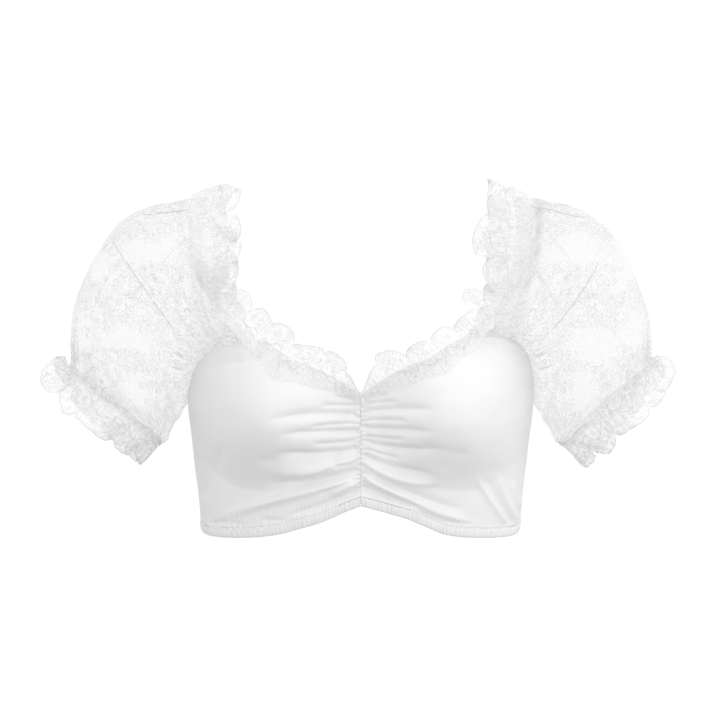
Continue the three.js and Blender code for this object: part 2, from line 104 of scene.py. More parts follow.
def swell(a, b, wavelength, seed, count=8):
    """A sum of plane waves in seeded directions, each about one wavelength long, about -1 to 1."""
    draw = np.random.default_rng(seed)
    turn, start = draw.uniform(0, np.pi, count), draw.uniform(0, 2 * np.pi, count)
    length = wavelength * draw.uniform(0.75, 1.5, count)
    a, b = np.broadcast_arrays(np.asarray(a, float), np.asarray(b, float))
    run = a[..., None] * np.cos(turn) + b[..., None] * np.sin(turn)
    return np.cos(2 * np.pi * run / length + start).sum(-1) / np.sqrt(2 * count)


def gathers(at, pitch, seed):
    """Round pleats with sharp valleys: twice the size of a cosine less 1, its pace and height uneven."""
    pace = at / pitch + 0.45 * swell(at, 0, pitch * 5, seed)
    height = 0.68 + 0.32 * swell(at, 7, pitch * 3, seed + 1)
    return height * (2 * np.abs(np.cos(np.pi * pace)) - 1)


def beside(x, z, start, end, bow):
    """Share of the way along a line on the front view, and distance off it, the line bent by bow."""
    (x0, z0), (x1, z1) = start, end
    length = np.hypot(x1 - x0, z1 - z0)
    share = ((x - x0) * (x1 - x0) + (z - z0) * (z1 - z0)) / length**2
    off = ((z - z0) * (x1 - x0) - (x - x0) * (z1 - z0)) / length
    return share, off + np.sign(x1 - x0) * bow * 4 * share * (1 - share)


def stroke(x, z, start, end, bow, half):
    """A crease on the front view: a bell across it and a fade along it, bent down by bow at its middle."""
    share, off = beside(x, z, start, end, bow)
    fade = ease(0, 0.2, share) * (1 - ease(0.75, 1, share))
    return fade * np.exp(-np.abs(off / half) ** 1.6)


print("a crease is 1 high at its middle:", float(stroke(5.0, 0.0, (0, 0), (10, 0), 0, 2)))

# %% [markdown]
# Each piece is a grid of points with one face for each four neighbours. Blender's own grids and
# modifiers could bend a flat sheet into place, but a grid worked out as an array keeps the cloth's two
# directions, across and along, and they become the UV map that the weave and the lace follow. Satin gets
# a real thickness from the Solidify modifier. Lace stays one sheet, because it is seen through.

# %% From a grid of points to a piece


def grid_normals(points, closed):
    """Cross product of the run across the grid and the run along it, of length 1."""
    if closed:
        across = np.roll(points, -1, 0) - np.roll(points, 1, 0)
    else:
        across = np.gradient(points, axis=0)
    return unit(np.cross(across, np.gradient(points, axis=1)))


def make_piece(name, points, uv, material, inside, closed=False, thickness=0, marks=None):
    """A mesh of quads over the grid, facing away from the point inside, with uv in millimetres of cloth."""
    columns, rows = points.shape[:2]
    i, j = np.meshgrid(np.arange(columns - (not closed)), np.arange(rows - 1), indexing="ij")
    corners = [(i, j), (i + 1, j), (i + 1, j + 1), (i, j + 1)]
    away = (grid_normals(points, closed) * (points - np.asarray(inside))).sum()
    if away < 0:
        corners.reverse()
    faces = np.stack([(a % columns) * rows + b for a, b in corners], -1).reshape(-1, 4)
    places = np.stack([a * rows + b for a, b in corners], -1).ravel()
    mesh = bpy.data.meshes.new(name)
    mesh.from_pydata((points * MM).reshape(-1, 3).tolist(), [], faces.tolist())
    layer = mesh.uv_layers.new(name="cloth")
    layer.data.foreach_set("uv", uv.reshape(-1, 2)[places].astype(np.float32).ravel())
    for key, value in (marks or {}).items():
        values = np.broadcast_to(value, (columns, rows)).astype(np.float32).ravel()
        mesh.attributes.new(key, "FLOAT", "POINT").data.foreach_set("value", values)
    mesh.polygons.foreach_set("use_smooth", np.ones(len(faces), bool))
    mesh.materials.append(material)
    mesh.update()
    piece = bpy.data.objects.new(name, mesh)
    bpy.context.scene.collection.objects.link(piece)
    if thickness:
        wall = piece.modifiers.new("Thickness", "SOLIDIFY")
        wall.thickness, wall.offset = thickness * MM, -1
    print(f"{name}: {len(faces)} faces, turned round: {bool(away < 0)}")
    return piece


# %% [markdown]
# The satin is a tight, smooth weave of fine yarn. From a step away it is a soft gloss with no visible
# threads, so its weave is only a very shallow bump and its gloss comes from a middling roughness and a
# little sheen. The weave is a node group, because the fronts, the back and the hem casings share it.

# %% Node helpers and the weave group


def place(tree, kind, *inputs, **settings):
    """A node with its settings, its inputs in order: a socket is linked, a number set, None left."""
    node = tree.nodes.new(kind)
    for key, value in settings.items():
        setattr(node, key, value)
    for socket, source in zip(node.inputs, inputs):
        if isinstance(source, bpy.types.NodeSocket):
            tree.links.new(source, socket)
        elif source is not None:
            socket.default_value = source
    return node


def maths(tree, operation, *inputs):
    """One Math node's result."""
    return place(tree, "ShaderNodeMath", *inputs, operation=operation).outputs[0]


def attribute(tree, label):
    """What the mesh attribute of that name says."""
    return place(tree, "ShaderNodeAttribute", attribute_name=label).outputs["Fac"]


def ramp(tree, value, low, high):
    """A smooth step from 0 at low to 1 at high, either way round."""
    node = place(tree, "ShaderNodeMapRange", value, low, high, 0.0, 1.0, interpolation_type="SMOOTHSTEP")
    return node.outputs[0]


def new_group(name, inputs, outputs):
    """A shader group with float inputs and outputs, but for the one called Place, which is a vector."""
    tree = bpy.data.node_groups.new(name, "ShaderNodeTree")
    for names, way in ((inputs, "INPUT"), (outputs, "OUTPUT")):
        for label in names:
            kind = "NodeSocketVector" if label == "Place" else "NodeSocketFloat"
            tree.interface.new_socket(label, in_out=way, socket_type=kind)
    return tree, tree.nodes.new("NodeGroupInput").outputs, tree.nodes.new("NodeGroupOutput").inputs


def weave_group():
    """Fine diagonal floats of satin, and slow cloudy patches where the cloth lies a little looser."""
    tree, given, result = new_group("fine_weave", ["Place", "Yarn"], ["Height", "Patch"])
    pace = maths(tree, "DIVIDE", 1.0, given["Yarn"])
    wave = place(tree, "ShaderNodeTexWave", given["Place"], pace, 0.6, 1.0, bands_direction="DIAGONAL")
    cloud = place(tree, "ShaderNodeTexNoise", given["Place"], None, 0.03, 2.0, 0.5)
    tree.links.new(wave.outputs["Fac"], result["Height"])
    tree.links.new(cloud.outputs["Fac"], result["Patch"])
    return tree


WEAVE = weave_group()
print("group:", WEAVE.name)

# %% Satin and casing materials


def cloth_material(name, colour, shade, roughness, yarn, bump):
    """An opaque cloth: colour to shade by patches, and its weave as a shallow bump."""
    material = bpy.data.materials.new(name)
    material.use_nodes = True
    tree = material.node_tree
    shader = tree.nodes["Principled BSDF"]
    cloth = place(tree, "ShaderNodeUVMap", uv_map="cloth")
    weave = place(tree, "ShaderNodeGroup", node_tree=WEAVE)
    tree.links.new(cloth.outputs[0], weave.inputs["Place"])
    weave.inputs["Yarn"].default_value = yarn
    patch = ramp(tree, weave.outputs["Patch"], 0.35, 0.65)
    mix = place(tree, "ShaderNodeMix", data_type="RGBA")
    tree.links.new(patch, mix.inputs[0])
    mix.inputs[6].default_value = (*colour, 1)
    mix.inputs[7].default_value = (*shade, 1)
    tree.links.new(mix.outputs[2], shader.inputs["Base Color"])
    raised = place(tree, "ShaderNodeBump", bump, 0.2 * MM)
    tree.links.new(weave.outputs["Height"], raised.inputs["Height"])
    tree.links.new(raised.outputs[0], shader.inputs["Normal"])
    shader.inputs["Roughness"].default_value = roughness
    shader.inputs["Specular IOR Level"].default_value = 0.25
    shader.inputs["Sheen Weight"].default_value = 0.12
    shader.inputs["Sheen Roughness"].default_value = 0.4
    return material


SATIN = cloth_material("white_satin", (0.872, 0.876, 0.882), (0.86, 0.864, 0.868), 0.5, 0.7, 0.1)
CASING = cloth_material("puckered_satin", (0.865, 0.868, 0.872), (0.845, 0.848, 0.85), 0.55, 0.7, 0.15)
print("opaque materials:", SATIN.name, CASING.name)

# %% [markdown]
# Lace is a fine net on which flowers, leaves and stems are worked, each outlined by a thicker thread.
# An image of lace would be the usual way, but a drawn pattern needs none: a Voronoi texture scatters
# cells over the cloth, and in each cell the distance from its middle is compared with a petal curve.
# Where the cloth is open it is let through by the Alpha input, so what lies behind it shows. The net's
# holes are about a millimetre, too small to model, but its motifs and its scalloped edge are at real size.

# %% Net and motif groups


def net_group():
    """A net of small round holes: the distance to the border of near-even cells, as a thread's profile."""
    tree, given, result = new_group("net_ground", ["Place", "Mesh"], ["Thread"])
    pace = maths(tree, "DIVIDE", 1.0, given["Mesh"])
    cells = place(tree, "ShaderNodeTexVoronoi", voronoi_dimensions="2D", feature="DISTANCE_TO_EDGE")
    tree.links.new(given["Place"], cells.inputs["Vector"])
    tree.links.new(pace, cells.inputs["Scale"])
    cells.inputs["Randomness"].default_value = 0.35
    tree.links.new(ramp(tree, cells.outputs["Distance"], 0.16, 0.05), result["Thread"])
    return tree


def cell_place(tree, given, size, shift, randomness):
    """Where a point lies in its scattered cell, in millimetres, and a random number for that cell."""
    aside = (shift, shift * 0.7, 0.0)
    moved = place(tree, "ShaderNodeVectorMath", given, aside, operation="ADD").outputs[0]
    cells = place(tree, "ShaderNodeTexVoronoi", voronoi_dimensions="2D", feature="F1")
    tree.links.new(moved, cells.inputs["Vector"])
    cells.inputs["Scale"].default_value = 1 / size
    cells.inputs["Randomness"].default_value = randomness
    local = place(tree, "ShaderNodeVectorMath", moved, cells.outputs["Position"], operation="SUBTRACT")
    spot = place(tree, "ShaderNodeSeparateXYZ", local.outputs[0])
    chance = place(tree, "ShaderNodeSeparateColor", cells.outputs["Color"]).outputs[0]
    return spot.outputs[0], spot.outputs[1], chance


def turned(tree, x, y, angle):
    """The point x, y turned by an angle about the middle of its cell."""
    c, s = maths(tree, "COSINE", angle), maths(tree, "SINE", angle)
    along_x = maths(tree, "ADD", maths(tree, "MULTIPLY", x, c), maths(tree, "MULTIPLY", y, s))
    along_y = maths(tree, "SUBTRACT", maths(tree, "MULTIPLY", y, c), maths(tree, "MULTIPLY", x, s))
    return along_x, along_y


def flower(tree, x, y, chance, radius, petals, line):
    """Five petals: a circle whose radius falls between them. Gives the filled petals and their outline."""
    x, y = turned(tree, x, y, maths(tree, "MULTIPLY", chance, 6.28))
    squares = maths(tree, "ADD", maths(tree, "MULTIPLY", x, x), maths(tree, "MULTIPLY", y, y))
    r = maths(tree, "SQRT", squares)
    angle = maths(tree, "MULTIPLY", maths(tree, "ARCTAN2", y, x), petals / 2)
    scallop = maths(tree, "POWER", maths(tree, "ABSOLUTE", maths(tree, "COSINE", angle)), 0.55)
    edge = maths(tree, "MULTIPLY_ADD", scallop, radius * 0.52, radius * 0.48)
    gap = maths(tree, "SUBTRACT", r, edge)
    fill = ramp(tree, gap, 0.0, -0.5)
    rim = ramp(tree, maths(tree, "ABSOLUTE", gap), line, line * 0.4)
    eye = ramp(tree, maths(tree, "ABSOLUTE", maths(tree, "SUBTRACT", r, radius * 0.26)), line, line * 0.4)
    veins = maths(tree, "MULTIPLY", ramp(tree, scallop, 0.42, 0.2), fill)
    return fill, maths(tree, "MAXIMUM", maths(tree, "MAXIMUM", rim, eye), veins)


def leaf(tree, x, y, chance, length, width, line):
    """A pointed oval, width times 1 less the square of its length, with a rib down its middle."""
    x, y = turned(tree, x, y, maths(tree, "MULTIPLY", chance, 6.28))
    share = maths(tree, "DIVIDE", x, length)
    room = maths(tree, "SUBTRACT", 1.0, maths(tree, "MULTIPLY", share, share))
    side = maths(tree, "ABSOLUTE", y)
    gap = maths(tree, "SUBTRACT", side, maths(tree, "MULTIPLY", room, width))
    fill = ramp(tree, gap, 0.0, -0.4)
    rim = ramp(tree, maths(tree, "ABSOLUTE", gap), line, line * 0.4)
    rim = maths(tree, "MULTIPLY", rim, ramp(tree, room, -0.3, 0.0))
    rib = maths(tree, "MULTIPLY", ramp(tree, side, line * 0.8, line * 0.3), fill)
    return fill, maths(tree, "MAXIMUM", rim, rib)


def motif_group():
    """Flowers of two sizes, leaves and thin stems, scattered. Gives their fill and their outlines."""
    tree, given, result = new_group("lace_motifs", ["Place"], ["Fill", "Line"])
    bend = place(tree, "ShaderNodeTexNoise", given["Place"], None, 0.06, 1.0, noise_dimensions="2D")
    bent = place(tree, "ShaderNodeVectorMath", bend.outputs["Color"], (6.0, 6.0, 0.0), operation="MULTIPLY")
    spot = place(tree, "ShaderNodeVectorMath", given["Place"], bent.outputs[0], operation="ADD").outputs[0]
    kinds = [
        flower(tree, *cell_place(tree, spot, 23.0, 0.0, 0.8), 6.6, 5, 0.4),
        flower(tree, *cell_place(tree, spot, 18.0, 31.0, 0.9), 3.2, 6, 0.36),
        leaf(tree, *cell_place(tree, spot, 13.0, 57.0, 0.9), 5.4, 2.1, 0.36),
    ]
    stems = place(tree, "ShaderNodeTexNoise", spot, None, 0.075, 1.0, 0.5, noise_dimensions="2D")
    off = maths(tree, "ABSOLUTE", maths(tree, "SUBTRACT", stems.outputs["Fac"], 0.5))
    stem = ramp(tree, off, 0.022, 0.008)
    fill, line = kinds[0]
    for more_fill, more_line in kinds[1:]:
        hidden = maths(tree, "SUBTRACT", 1.0, fill)
        line = maths(tree, "MAXIMUM", line, maths(tree, "MULTIPLY", more_line, hidden))
        fill = maths(tree, "MAXIMUM", fill, more_fill)
    stem = maths(tree, "MULTIPLY", stem, maths(tree, "SUBTRACT", 1.0, fill))
    tree.links.new(fill, result["Fill"])
    tree.links.new(maths(tree, "MAXIMUM", line, stem), result["Line"])
    return tree


NET, MOTIFS = net_group(), motif_group()
print("groups:", NET.name, MOTIFS.name)

# %% [markdown]
# The same lace is used three ways. On the sleeves the motifs come and go in zones, which an attribute on
# the mesh, floral, gives from 0 to 1. On the frills each scallop of the edge holds one flower above a
# plain net foot, and an outline runs along the edge. On the narrow bands the lace is bunched up so
# tightly that hardly any light comes through. One function makes all three from their own values.

# %% Lace materials


def lace_shader(name, roughness):
    """A lace material's parts that are always there: its tree, shader, cloth coordinates and net."""
    material = bpy.data.materials.new(name)
    material.use_nodes = True
    tree = material.node_tree
    shader = tree.nodes["Principled BSDF"]
    shader.inputs["Roughness"].default_value = roughness
    shader.inputs["Specular IOR Level"].default_value = 0.25
    shader.inputs["Sheen Weight"].default_value = 0.1
    cloth = place(tree, "ShaderNodeUVMap", uv_map="cloth").outputs[0]
    return material, tree, shader, cloth


def finish_lace(tree, shader, cloth, fill, line, cover, colour, cord_shade, bunched=0.0, painted_shade=0.0):
    """Alpha is the net, the fill or the outline, whichever is most; bunched net is denser, and painted
    shade darkens it.

    Cover is how opaque the net, the fill and the outline are, and the width of one mesh in millimetres.
    """
    net_alpha, fill_alpha, line_alpha, mesh_size = cover
    net = place(tree, "ShaderNodeGroup", node_tree=NET)
    tree.links.new(cloth, net.inputs["Place"])
    net.inputs["Mesh"].default_value = mesh_size
    held = maths(tree, "MULTIPLY_ADD", bunched, 1 - net_alpha, net_alpha)
    thread = maths(tree, "MULTIPLY", net.outputs[0], held)
    solid = maths(tree, "MULTIPLY", fill, fill_alpha)
    body = maths(tree, "MAXIMUM", thread, solid)
    alpha = maths(tree, "MAXIMUM", body, maths(tree, "MULTIPLY", line, line_alpha))
    alpha = maths(tree, "MAXIMUM", alpha, maths(tree, "MULTIPLY", painted_shade, 0.85))
    line = maths(tree, "MAXIMUM", line, maths(tree, "MULTIPLY", net.outputs[0], bunched))
    if bunched:
        # painted shade: the most bunched net is also darkened towards grey
        gathered_shade = maths(tree, "MULTIPLY", net.outputs[0], ramp(tree, bunched, 0.5, 1.2))
        painted_shade = maths(tree, "MAXIMUM", painted_shade, gathered_shade)
    tree.links.new(alpha, shader.inputs["Alpha"])
    # the outline's colour is a painted shade of the raised outline thread, which is as white as the rest
    mix = place(tree, "ShaderNodeMix", data_type="RGBA")
    tree.links.new(line, mix.inputs[0])
    mix.inputs[6].default_value = (*colour, 1)
    mix.inputs[7].default_value = (*cord_shade, 1)
    # painted shade: creases, shaded outlines and the tightest gathers are mixed towards a mid grey
    shaded_colour = place(tree, "ShaderNodeMix", data_type="RGBA")
    tree.links.new(maths(tree, "MINIMUM", painted_shade, 1.0), shaded_colour.inputs[0])
    tree.links.new(mix.outputs[2], shaded_colour.inputs[6])
    shaded_colour.inputs[7].default_value = (0.5, 0.505, 0.51, 1)
    tree.links.new(shaded_colour.outputs[2], shader.inputs["Base Color"])
    height = maths(tree, "MULTIPLY_ADD", line, 0.7, maths(tree, "MULTIPLY", body, 0.3))
    bump = place(tree, "ShaderNodeBump", 0.35, 0.4 * MM)
    tree.links.new(height, bump.inputs["Height"])
    tree.links.new(bump.outputs[0], shader.inputs["Normal"])


def sleeve_lace():
    """Motifs where the floral attribute is high, bare net where it is low, and painted shade along four
    pressed creases and on outlines.
    """
    material, tree, shader, cloth = lace_shader("sleeve_lace", 0.75)
    motifs = place(tree, "ShaderNodeGroup", cloth, node_tree=MOTIFS)
    zone = attribute(tree, "floral")
    here = ramp(tree, zone, 0.25, 0.75)
    fill = maths(tree, "MULTIPLY", motifs.outputs["Fill"], here)
    line = maths(tree, "MULTIPLY", motifs.outputs["Line"], here)
    # painted shade on the motifs' outlines, where the mesh attribute marks shaded zones
    outline_shade = attribute(tree, "outline_shade")
    painted_shade = maths(tree, "MULTIPLY", line, outline_shade)
    noise = place(tree, "ShaderNodeTexNoise", cloth, None, 0.12, 2.0, 0.5, noise_dimensions="2D")
    patchy = ramp(tree, noise.outputs["Fac"], 0.2, 0.45)
    # painted shade along the four sharpest creases, patchy along their length
    for label, strength in (("crease_a", 0.85), ("crease_b", 0.45), ("crease_c", 0.45), ("crease_d", 1.0)):
        off = maths(tree, "ABSOLUTE", attribute(tree, label))
        crease_shade = maths(tree, "MULTIPLY", ramp(tree, off, 0.8, 0.25), patchy)
        painted_shade = maths(tree, "MAXIMUM", painted_shade, maths(tree, "MULTIPLY", crease_shade, strength))
    # gathered net: denser for real, and darker by painted shade
    bunched = attribute(tree, "bunched")
    # lace colour, then the outlines' painted shade
    cover, colours = (0.7, 0.16, 0.46, 1.3), ((0.93, 0.932, 0.945), (0.68, 0.685, 0.7))
    finish_lace(tree, shader, cloth, fill, line, cover, *colours, bunched, painted_shade)
    return material


def frill_lace():
    """One flower in each scallop, leaves between, a dense border along the edge and a plain net foot."""
    material, tree, shader, cloth = lace_shader("frill_lace", 0.75)
    spot = attribute(tree, "lobe_across")
    edge = attribute(tree, "from_edge")
    crook = place(tree, "ShaderNodeTexNoise", cloth, None, 0.09, 1.0, 0.5, noise_dimensions="2D")
    crook = maths(tree, "MULTIPLY_ADD", crook.outputs["Fac"], 9.0, -4.5)
    middle = maths(tree, "SUBTRACT", maths(tree, "ADD", edge, crook), 8.8)
    fill, line = flower(tree, maths(tree, "ADD", spot, crook), middle, 0.25, 4.4, 5, 0.4)
    rim = ramp(tree, maths(tree, "ABSOLUTE", maths(tree, "SUBTRACT", edge, 0.6)), 0.8, 0.3)
    inner_rim = ramp(tree, maths(tree, "ABSOLUTE", maths(tree, "SUBTRACT", edge, 2.6)), 0.45, 0.15)
    rim = maths(tree, "MAXIMUM", rim, maths(tree, "MULTIPLY", inner_rim, 0.7))
    vine = maths(tree, "SINE", maths(tree, "MULTIPLY", spot, 0.45))
    under = maths(tree, "SUBTRACT", edge, maths(tree, "MULTIPLY_ADD", vine, 2.0, 17.5))
    stem = ramp(tree, maths(tree, "ABSOLUTE", under), 0.7, 0.3)
    fine = place(tree, "ShaderNodeVectorMath", cloth, (1.7, 1.7, 0.0), operation="MULTIPLY").outputs[0]
    motifs = place(tree, "ShaderNodeGroup", fine, node_tree=MOTIFS)
    border = ramp(tree, edge, 36.0, 22.0)
    small = maths(tree, "MULTIPLY", maths(tree, "SUBTRACT", 1.0, fill), border)
    fill = maths(tree, "MAXIMUM", fill, maths(tree, "MULTIPLY", motifs.outputs["Fill"], small))
    line = maths(tree, "MAXIMUM", line, maths(tree, "MULTIPLY", motifs.outputs["Line"], small))
    near_foot = ramp(tree, edge, 12.0, 19.0)
    line = maths(tree, "MULTIPLY", line, maths(tree, "MULTIPLY_ADD", near_foot, -0.6, 1.0))
    line = maths(tree, "MAXIMUM", maths(tree, "MAXIMUM", line, stem), rim)
    fill = maths(tree, "MAXIMUM", fill, maths(tree, "MULTIPLY_ADD", near_foot, -0.26, 0.42))
    # lace colour, then the outlines' painted shade
    cover, colours = (0.85, 0.7, 0.78, 1.2), ((0.94, 0.947, 0.932), (0.7, 0.705, 0.69))
    finish_lace(tree, shader, cloth, fill, line, cover, *colours, attribute(tree, "bunched"))
    return material


def band_lace():
    """Bunched lace: the motifs close together and hardly anything to see through."""
    material, tree, shader, cloth = lace_shader("gathered_lace", 0.7)
    motifs = place(tree, "ShaderNodeGroup", cloth, node_tree=MOTIFS)
    dense = maths(tree, "MAXIMUM", motifs.outputs["Fill"], 0.45)
    # painted light: the band's lace is whiter than the same lace on the sleeve, to offset the shade of its
    # puckers; its outline colour is a painted shade
    cover, colours = (0.6, 0.45, 0.5, 1.2), ((0.975, 0.978, 0.97), (0.8, 0.803, 0.79))
    finish_lace(tree, shader, cloth, dense, motifs.outputs["Line"], cover, *colours)
    return material


SLEEVE_LACE, FRILL_LACE, BAND_LACE = sleeve_lace(), frill_lace(), band_lace()
print("lace materials:", SLEEVE_LACE.name, FRILL_LACE.name, BAND_LACE.name)

# %% [markdown]
# The body is a stack of rounded sections. Each section lies between an ellipse and a rectangle, which
# the exponent 2.4 gives, and each cup adds one smooth dome to the front. The same tables made the
# frame's walls, so the finer surfaces here fit them by themselves.

# %% Form of the body
SEAM, HEM_HEIGHT = 0.4, 8.0
CASING_PROUD, CASING_DEPTH, CUFF_HEIGHT = 0.8, 2.8, 6.0
ROUNDNESS = 2.4
BODY_MIDDLE, SATIN_THICKNESS = (0, 0, -220), 1.2
BODY_ARC, SLEEVE_ARC, CUFF_ARC, FRILL_ARC = 2.2, 1.28, 0.98, 2.2  # millimetres of cloth for one degree
FRONT_CORNER, BACK_CORNER = 47.0, 128.0
CUP = {"x": 86, "z": -198, "inner": 74, "outer": 62, "upper": 78, "lower": 60, "rise": 33, "fullness": 1.5}

SECTIONS = np.array([  # height, half width, depth to the front, depth to the back
    (-300, 139, 84, 86), (-280, 140.5, 86, 88), (-250, 144, 89, 91), (-220, 147.5, 93, 94),
    (-190, 151, 97, 96), (-165, 152, 98, 96), (-140, 151, 96, 94), (-110, 148, 90, 90),
])
HEM_LINE = np.array([  # angle from centre front, height on the viewer's left and right
    (0, -270, -270), (5, -273, -272), (10, -276, -274), (17, -281, -277), (25, -286, -281),
    (30, -288.5, -284.5), (36, -291.5, -289), (42, -294.5, -294), (52, -297.5, -297.5),
    (66, -298.5, -298.5), (78, -297, -297), (90, -292, -292), (112, -288, -288), (145, -281, -281),
    (180, -275, -275),
])
FRONT_TOP = np.array([  # angle, height on the viewer's left and right
    (0, -174.5, -174.5), (7, -166, -166), (18, -155, -154), (33, -143, -142), (45, -128, -127),
    (49, -129, -126), (55, -131, -125), (60, -133, -124.5), (66, -137, -126), (72, -147, -132),
    (80, -166, -149), (90, -183, -183),
])
BACK_TOP = np.array([
    (90, -183), (100, -179), (112, -171), (128, -163), (138, -180), (152, -198), (166, -208), (180, -211),
])


def cup_rise(x, z):
    """The dome's height, its rise times a power of 1 less the squared distance in shares of its reach."""
    out, up = np.abs(x) - CUP["x"], z - CUP["z"]
    across = out / np.where(out > 0, CUP["outer"], CUP["inner"])
    upwards = up / np.where(up > 0, CUP["upper"], CUP["lower"])
    return CUP["rise"] * np.maximum(0, 1 - across**2 - upwards**2) ** CUP["fullness"]


def section(z, is_front):
    """Half width and depth of the body at a height."""
    row = along(SECTIONS[:, 0], SECTIONS[:, 1:], z)
    return row[..., 0], np.where(is_front, row[..., 1], row[..., 2])


def body_point(angle, z):
    """The body's outside at an angle from centre front, in degrees, and a height."""
    angle, z = np.broadcast_arrays(np.asarray(angle, float), np.asarray(z, float))
    s, c = np.sin(np.radians(angle)), np.cos(np.radians(angle))
    half_width, depth = section(z, c > 0)
    reach = (np.abs(s / half_width) ** ROUNDNESS + np.abs(c / depth) ** ROUNDNESS) ** (-1 / ROUNDNESS)
    x, y = reach * s, -reach * c
    return np.stack([x, np.where(c > 0, y - cup_rise(x, z), y), z], -1)


def body_depth(x, z, is_front):
    """The same surface as a depth over the front view."""
    half_width, depth = section(z, is_front)
    share = np.minimum(np.abs(x) / half_width, 1)
    y = depth * (1 - share**ROUNDNESS) ** (1 / ROUNDNESS)
    return np.where(is_front, -y - cup_rise(x, z), y)


def hem_z(angle, side):
    """Height of the lower edge on one side."""
    return along(HEM_LINE[:, 0], HEM_LINE[:, 1 if side < 0 else 2], np.abs(angle))


def top_z(angle, side):
    """Height of the upper edge of a front or of the back."""
    front = along(FRONT_TOP[:, 0], FRONT_TOP[:, 1 if side < 0 else 2], np.minimum(angle, 90))
    return np.where(angle <= 90, front, along(BACK_TOP[:, 0], BACK_TOP[:, 1], np.maximum(angle, 90)))


print("half width at the hem:", float(section(np.array(-298.0), True)[0]))

# %% [markdown]
# The satin is drawn up onto the centre seam, so folds fan out from it over each cup. Their main ones are
# a table: where a fold starts at the seam, where it dies out, how far it hangs and how high it stands.
# A cloth simulation would find such folds by itself, but never these ones, so they are placed one by one,
# with finer ones between them, the tension folds at the hem corners and the tucks at the armholes.

# %% Folds of the fronts
RUCHING = {  # height at the seam, height at the end, reach, sag, rise, half width
    -1: [
        (-193, -198, 84, -5, -3.2, 4), (-206, -209, 74, -1, -3, 3.6), (-220, -224, 80, 4, -3.4, 4),
        (-229, -238, 88, 5, 2.6, 5.5), (-238, -249, 84, 5, -3, 4), (-248, -283, 128, -3, 3, 4.5),
        (-255, -280, 70, 2, -2.4, 3.4),
    ],
    1: [
        (-190, -188, 66, -3, -2.8, 3.8), (-203, -206, 66, 0, -2.8, 3.8), (-213, -220, 74, 5, -3.2, 4),
        (-225, -241, 70, 5, -3.2, 4), (-233, -246, 78, 9, 2.8, 5), (-234, -274, 96, 7, -3, 4),
        (-244, -288, 106, 4, 2.6, 4.5), (-252, -274, 64, 2, -2.6, 3.4),
    ],
}
FINE_FOLDS = {  # start x, z, end x, z, bow, rise, half width; x is the distance from the centre seam
    -1: [
        (0, -199, 46, -203, -1, -1.5, 2.2), (0, -213, 42, -217, 1, -1.7, 2.2),
        (0, -231, 26, -236, 1, -2, 2.6), (0, -226, 30, -232, 1, -1.3, 2),
        (0, -245, 40, -260, 1, -1.6, 2.2), (0, -185, 36, -184, -1, -1.5, 2.4),
        (0, -179, 24, -176, 0, -1.1, 2), (0, -250, 28, -261, 0, 1.3, 2.6),
        (2, -260, 40, -276, 0, -1.4, 2.2), (133, -288, 112, -284, 0, -1.5, 2.4),
        (140, -141, 94, -131, -4, -3, 2.6), (138, -148, 92, -139, -5, 2, 3),
        (136, -155, 96, -147, -4, -1.6, 2.4), (60, -283, 88, -282, 0, -1, 2.6),
        (92, -289, 114, -285, 0, -1, 2.6), (20, -233, 78, -246, 3, 1.2, 6),
        (40, -222, 96, -232, 2, -0.9, 5), (141, -268, 118, -214, 3, -1.1, 5),
    ],
    1: [
        (0, -197, 42, -197, -1, -1.5, 2.2), (0, -209, 40, -213, 1, -1.6, 2.2),
        (0, -219, 36, -230, 1, -1.6, 2.2), (0, -240, 34, -256, 1, -1.5, 2.2),
        (0, -184, 34, -180, -1, -1.5, 2.4), (0, -178, 24, -174, 0, -1.1, 2),
        (0, -247, 50, -270, 2, -1.2, 2.2), (2, -259, 44, -276, 1, -1.4, 2.2),
        (129, -290, 98, -244, 1, 1.7, 3.4), (137, -287, 116, -240, 2, 1.6, 3.2),
        (140, -276, 131, -248, 1, 1.2, 2.6), (133, -290, 108, -246, 1, -1.2, 2.6),
        (140, -133, 100, -127, -3, -1.8, 2.4), (139, -140, 104, -134, -4, 1.2, 2.8),
        (70, -283, 100, -287, 0, -1, 2.6), (22, -228, 80, -242, 3, 1, 6), (48, -216, 96, -226, 2, -0.8, 5),
    ],
}
FOLD_GAIN, RUCHING_WIDTH, FINE_WIDTH, VALLEY_POWER = 1.4, 0.88, 0.9, 1.4  # on top of the tables
CENTRE_PULL, CENTRE_PULL_HALF = 3.0, 7.0  # how deep and how wide the seam draws the cloth in
HEM_DRAWN = {-1: 1.4, 1: 0.3}  # how much stronger the hem's gathers are towards the side seam


def fold_rise(x, z, side):
    """Height of all the folds over the smooth form, at places of one front."""
    out = np.abs(x)
    rise = np.zeros_like(out)
    for start, end, reach, sag, high, half in RUCHING[side]:
        share = np.clip(out / reach, 0, 1)
        ridge = lerp(start, end, share) - sag * 4 * share * (1 - share)
        fade = ease(0, 0.08, share) * (1 - ease(0.6, 1, share))
        power = VALLEY_POWER if high < 0 else 2
        rise += FOLD_GAIN * high * fade * np.exp(-(np.abs(z - ridge) / (RUCHING_WIDTH * half)) ** power)
    for x0, z0, x1, z1, bow, high, half in FINE_FOLDS[side]:
        rise += FOLD_GAIN * high * stroke(out, z, (x0, z0), (x1, z1), bow, FINE_WIDTH * half)
    seam = bell(out, 0, CENTRE_PULL_HALF)
    pucker = bell(out, 0, 6.5) * gathers(z + side * 1.3, 4.4, 20 + side)
    return rise - CENTRE_PULL * seam + 0.8 * pucker


